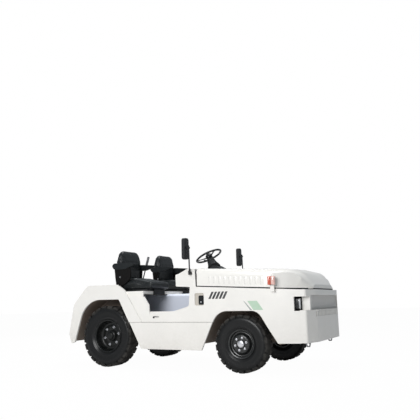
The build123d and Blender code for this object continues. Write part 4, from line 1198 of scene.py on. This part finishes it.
# padded hip restraints: a bolster on top of a moulded leg, the outer legs broad, the inner ones slim
def makeHipRestraints():
    pad = [(-1.019, 1.335), (-0.990, 1.374), (-0.860, 1.374), (-0.640, 1.356), (-0.650, 1.338),
        (-0.722, 1.312), (-0.799, 1.288), (-0.978, 1.286)]
    heel = [(-0.978, 1.300), (-0.962, 1.172), (-0.940, 1.056), (-0.880, 1.050)]
    broad, slim = [(-0.790, 1.092), (-0.718, 1.147), (-0.702, 1.236), (-0.724, 1.318)], [(-0.874, 1.180),
        (-0.868, 1.300)]
    for name, s in sides:
        for label, y, toe in (("outer", 0.7083, broad), ("inner", 0.2137, slim)):
            bm = bmesh.new()
            sidePrism(bm, rounded(pad, 0.026), s * y - 0.0178, s * y + 0.0178)
            put(bm, f"hipPad_{label}_{name}", "vinyl", hide=("hip_restraints",),
                bevel=0.0125, segments=4, sharp=60)
            bm = bmesh.new()
            sidePrism(bm, rounded(heel + toe, 0.020), s * y - 0.0120, s * y + 0.0120)
            put(bm, f"hipLeg_{label}_{name}", "shell", bevel=0.006, segments=3)


# screws along the seams, bolts of the coupling, rails and knobs at the seats
def makeFixings():
    bm = bmesh.new()
    for s in (-1, 1):
        side = (0, s, 0)
        y = s * 0.7795
        places = [(-0.30 + 0.26 * k, y, 0.566) for k in range(4)] + [(-0.20 + 0.24 * k, y, 0.275)
            for k in range(3)]
        bolts(bm, places, 0.0075, 0.0025, side, 14)
        bolts(bm, [(0.320, y, 1.045), (0.110, y, 1.045)], 0.0065, 0.0025, side, 14)
    put(bm, "panelScrews", "body", sharp=40)
    bm = bmesh.new()
    for y in (-0.120, 0.120):
        for z in (0.335, 0.435):
            bolts(bm, [(-1.672, y, z)], 0.011, 0.009, (-1, 0, 0))
    put(bm, "couplingBolts", "steel")
    bm = bmesh.new()
    for s in (-1, 1):
        for y in (0.300, 0.622):
            box(bm, (-0.860, s * y - 0.014, 0.985), (-0.480, s * y + 0.014, 1.004))
        for y, away in ((0.2045, -1), (0.7175, 1)):
            tube(bm, [(-0.868, s * (y + away * d), 1.183) for d in (0.012, 0.020)], [0.013, 0.010], 18)
    put(bm, "seatRails", "steel", bevel=0.001)


details = (
    makeSeals, makeLouvres, makeFilm, makeLatches, makeTurnLamps, makeHeadlamps, makeTailLamps, makeMirrors,
    makeSteeringWheel, makeColumn, makeInstruments, makeMats, makeControls, makeRunningGear, makeEngineBay,
    makeHipRestraints, makeFixings,
)
for make in details:
    make()
print("details fitted")


# floor, backdrop and light
stage = dict(
    floorSeen=0.98, world=0.30, glossSeen=0.25, sky=(0.84, 0.92, 1.0, 1),
    lamps=(
        ("key", (0.2, -9.1, 4.0), (0.0, 0.0, 0.6), 4.0, 520),
        ("top", (0.2, 0.3, 6.5), (0.3, 0.0, 0.5), 3.6, 310),
        ("rim", (-6.5, 4.0, 4.0), (0.0, 0.0, 0.7), 3.0, 150),
    ),
)


def makeStage():
    bpy.ops.mesh.primitive_plane_add(size=80)
    floor = bpy.context.object
    floor.name = "floorSheet"
    f = Finish("paleFloor", base_color=(0.68, 0.68, 0.68), roughness=0.9)
    glow = f.node("ShaderNodeEmission", None, dict(Color=(1, 1, 1, 1), Strength=1.0))
    seen = f.node("ShaderNodeLightPath", out=0)
    glossy = f.node("ShaderNodeLightPath", out="Is Glossy Ray")
    shown = f.node("ShaderNodeMixShader", None,
        {0: seen * stage["floorSeen"] + glossy * stage["glossSeen"], 1: Wire(f, f.shader.outputs[0]),
        2: glow})
    f.plug(f.tree.nodes["Material Output"].inputs[0], shown)
    floor.data.materials.append(f.material)

    world = bpy.data.worlds.new("studio")
    world.use_nodes = True
    bpy.context.scene.world = world
    g = Graph(world.node_tree)
    camera, through, gloss = (
        g.node("ShaderNodeLightPath", out=f"Is {ray} Ray") for ray in ("Camera", "Transmission", "Glossy")
    )
    direct = gloss.math("MULTIPLY_ADD", stage["glossSeen"], camera.math("MAXIMUM", through))
    back = g.tree.nodes["Background"]
    g.plug(back.inputs[0], g.mix(direct, stage["sky"], (1, 1, 1)))
    g.plug(back.inputs[1], g.ramp(direct, 0.0, 1.0, stage["world"]))

    for name, place, aim, size, power in stage["lamps"]:
        data = bpy.data.lights.new(name, "AREA")
        data.size, data.energy = size, power
        lamp = bpy.data.objects.new(name, data)
        lamp.location = place
        lamp.rotation_euler = (Vector(aim) - Vector(place)).to_track_quat("-Z", "Y").to_euler()
        bpy.context.scene.collection.objects.link(lamp)


makeStage()
bpy.context.scene.view_settings.view_transform = "Standard"
print("stage lit")

bpy.context.view_layer.update()
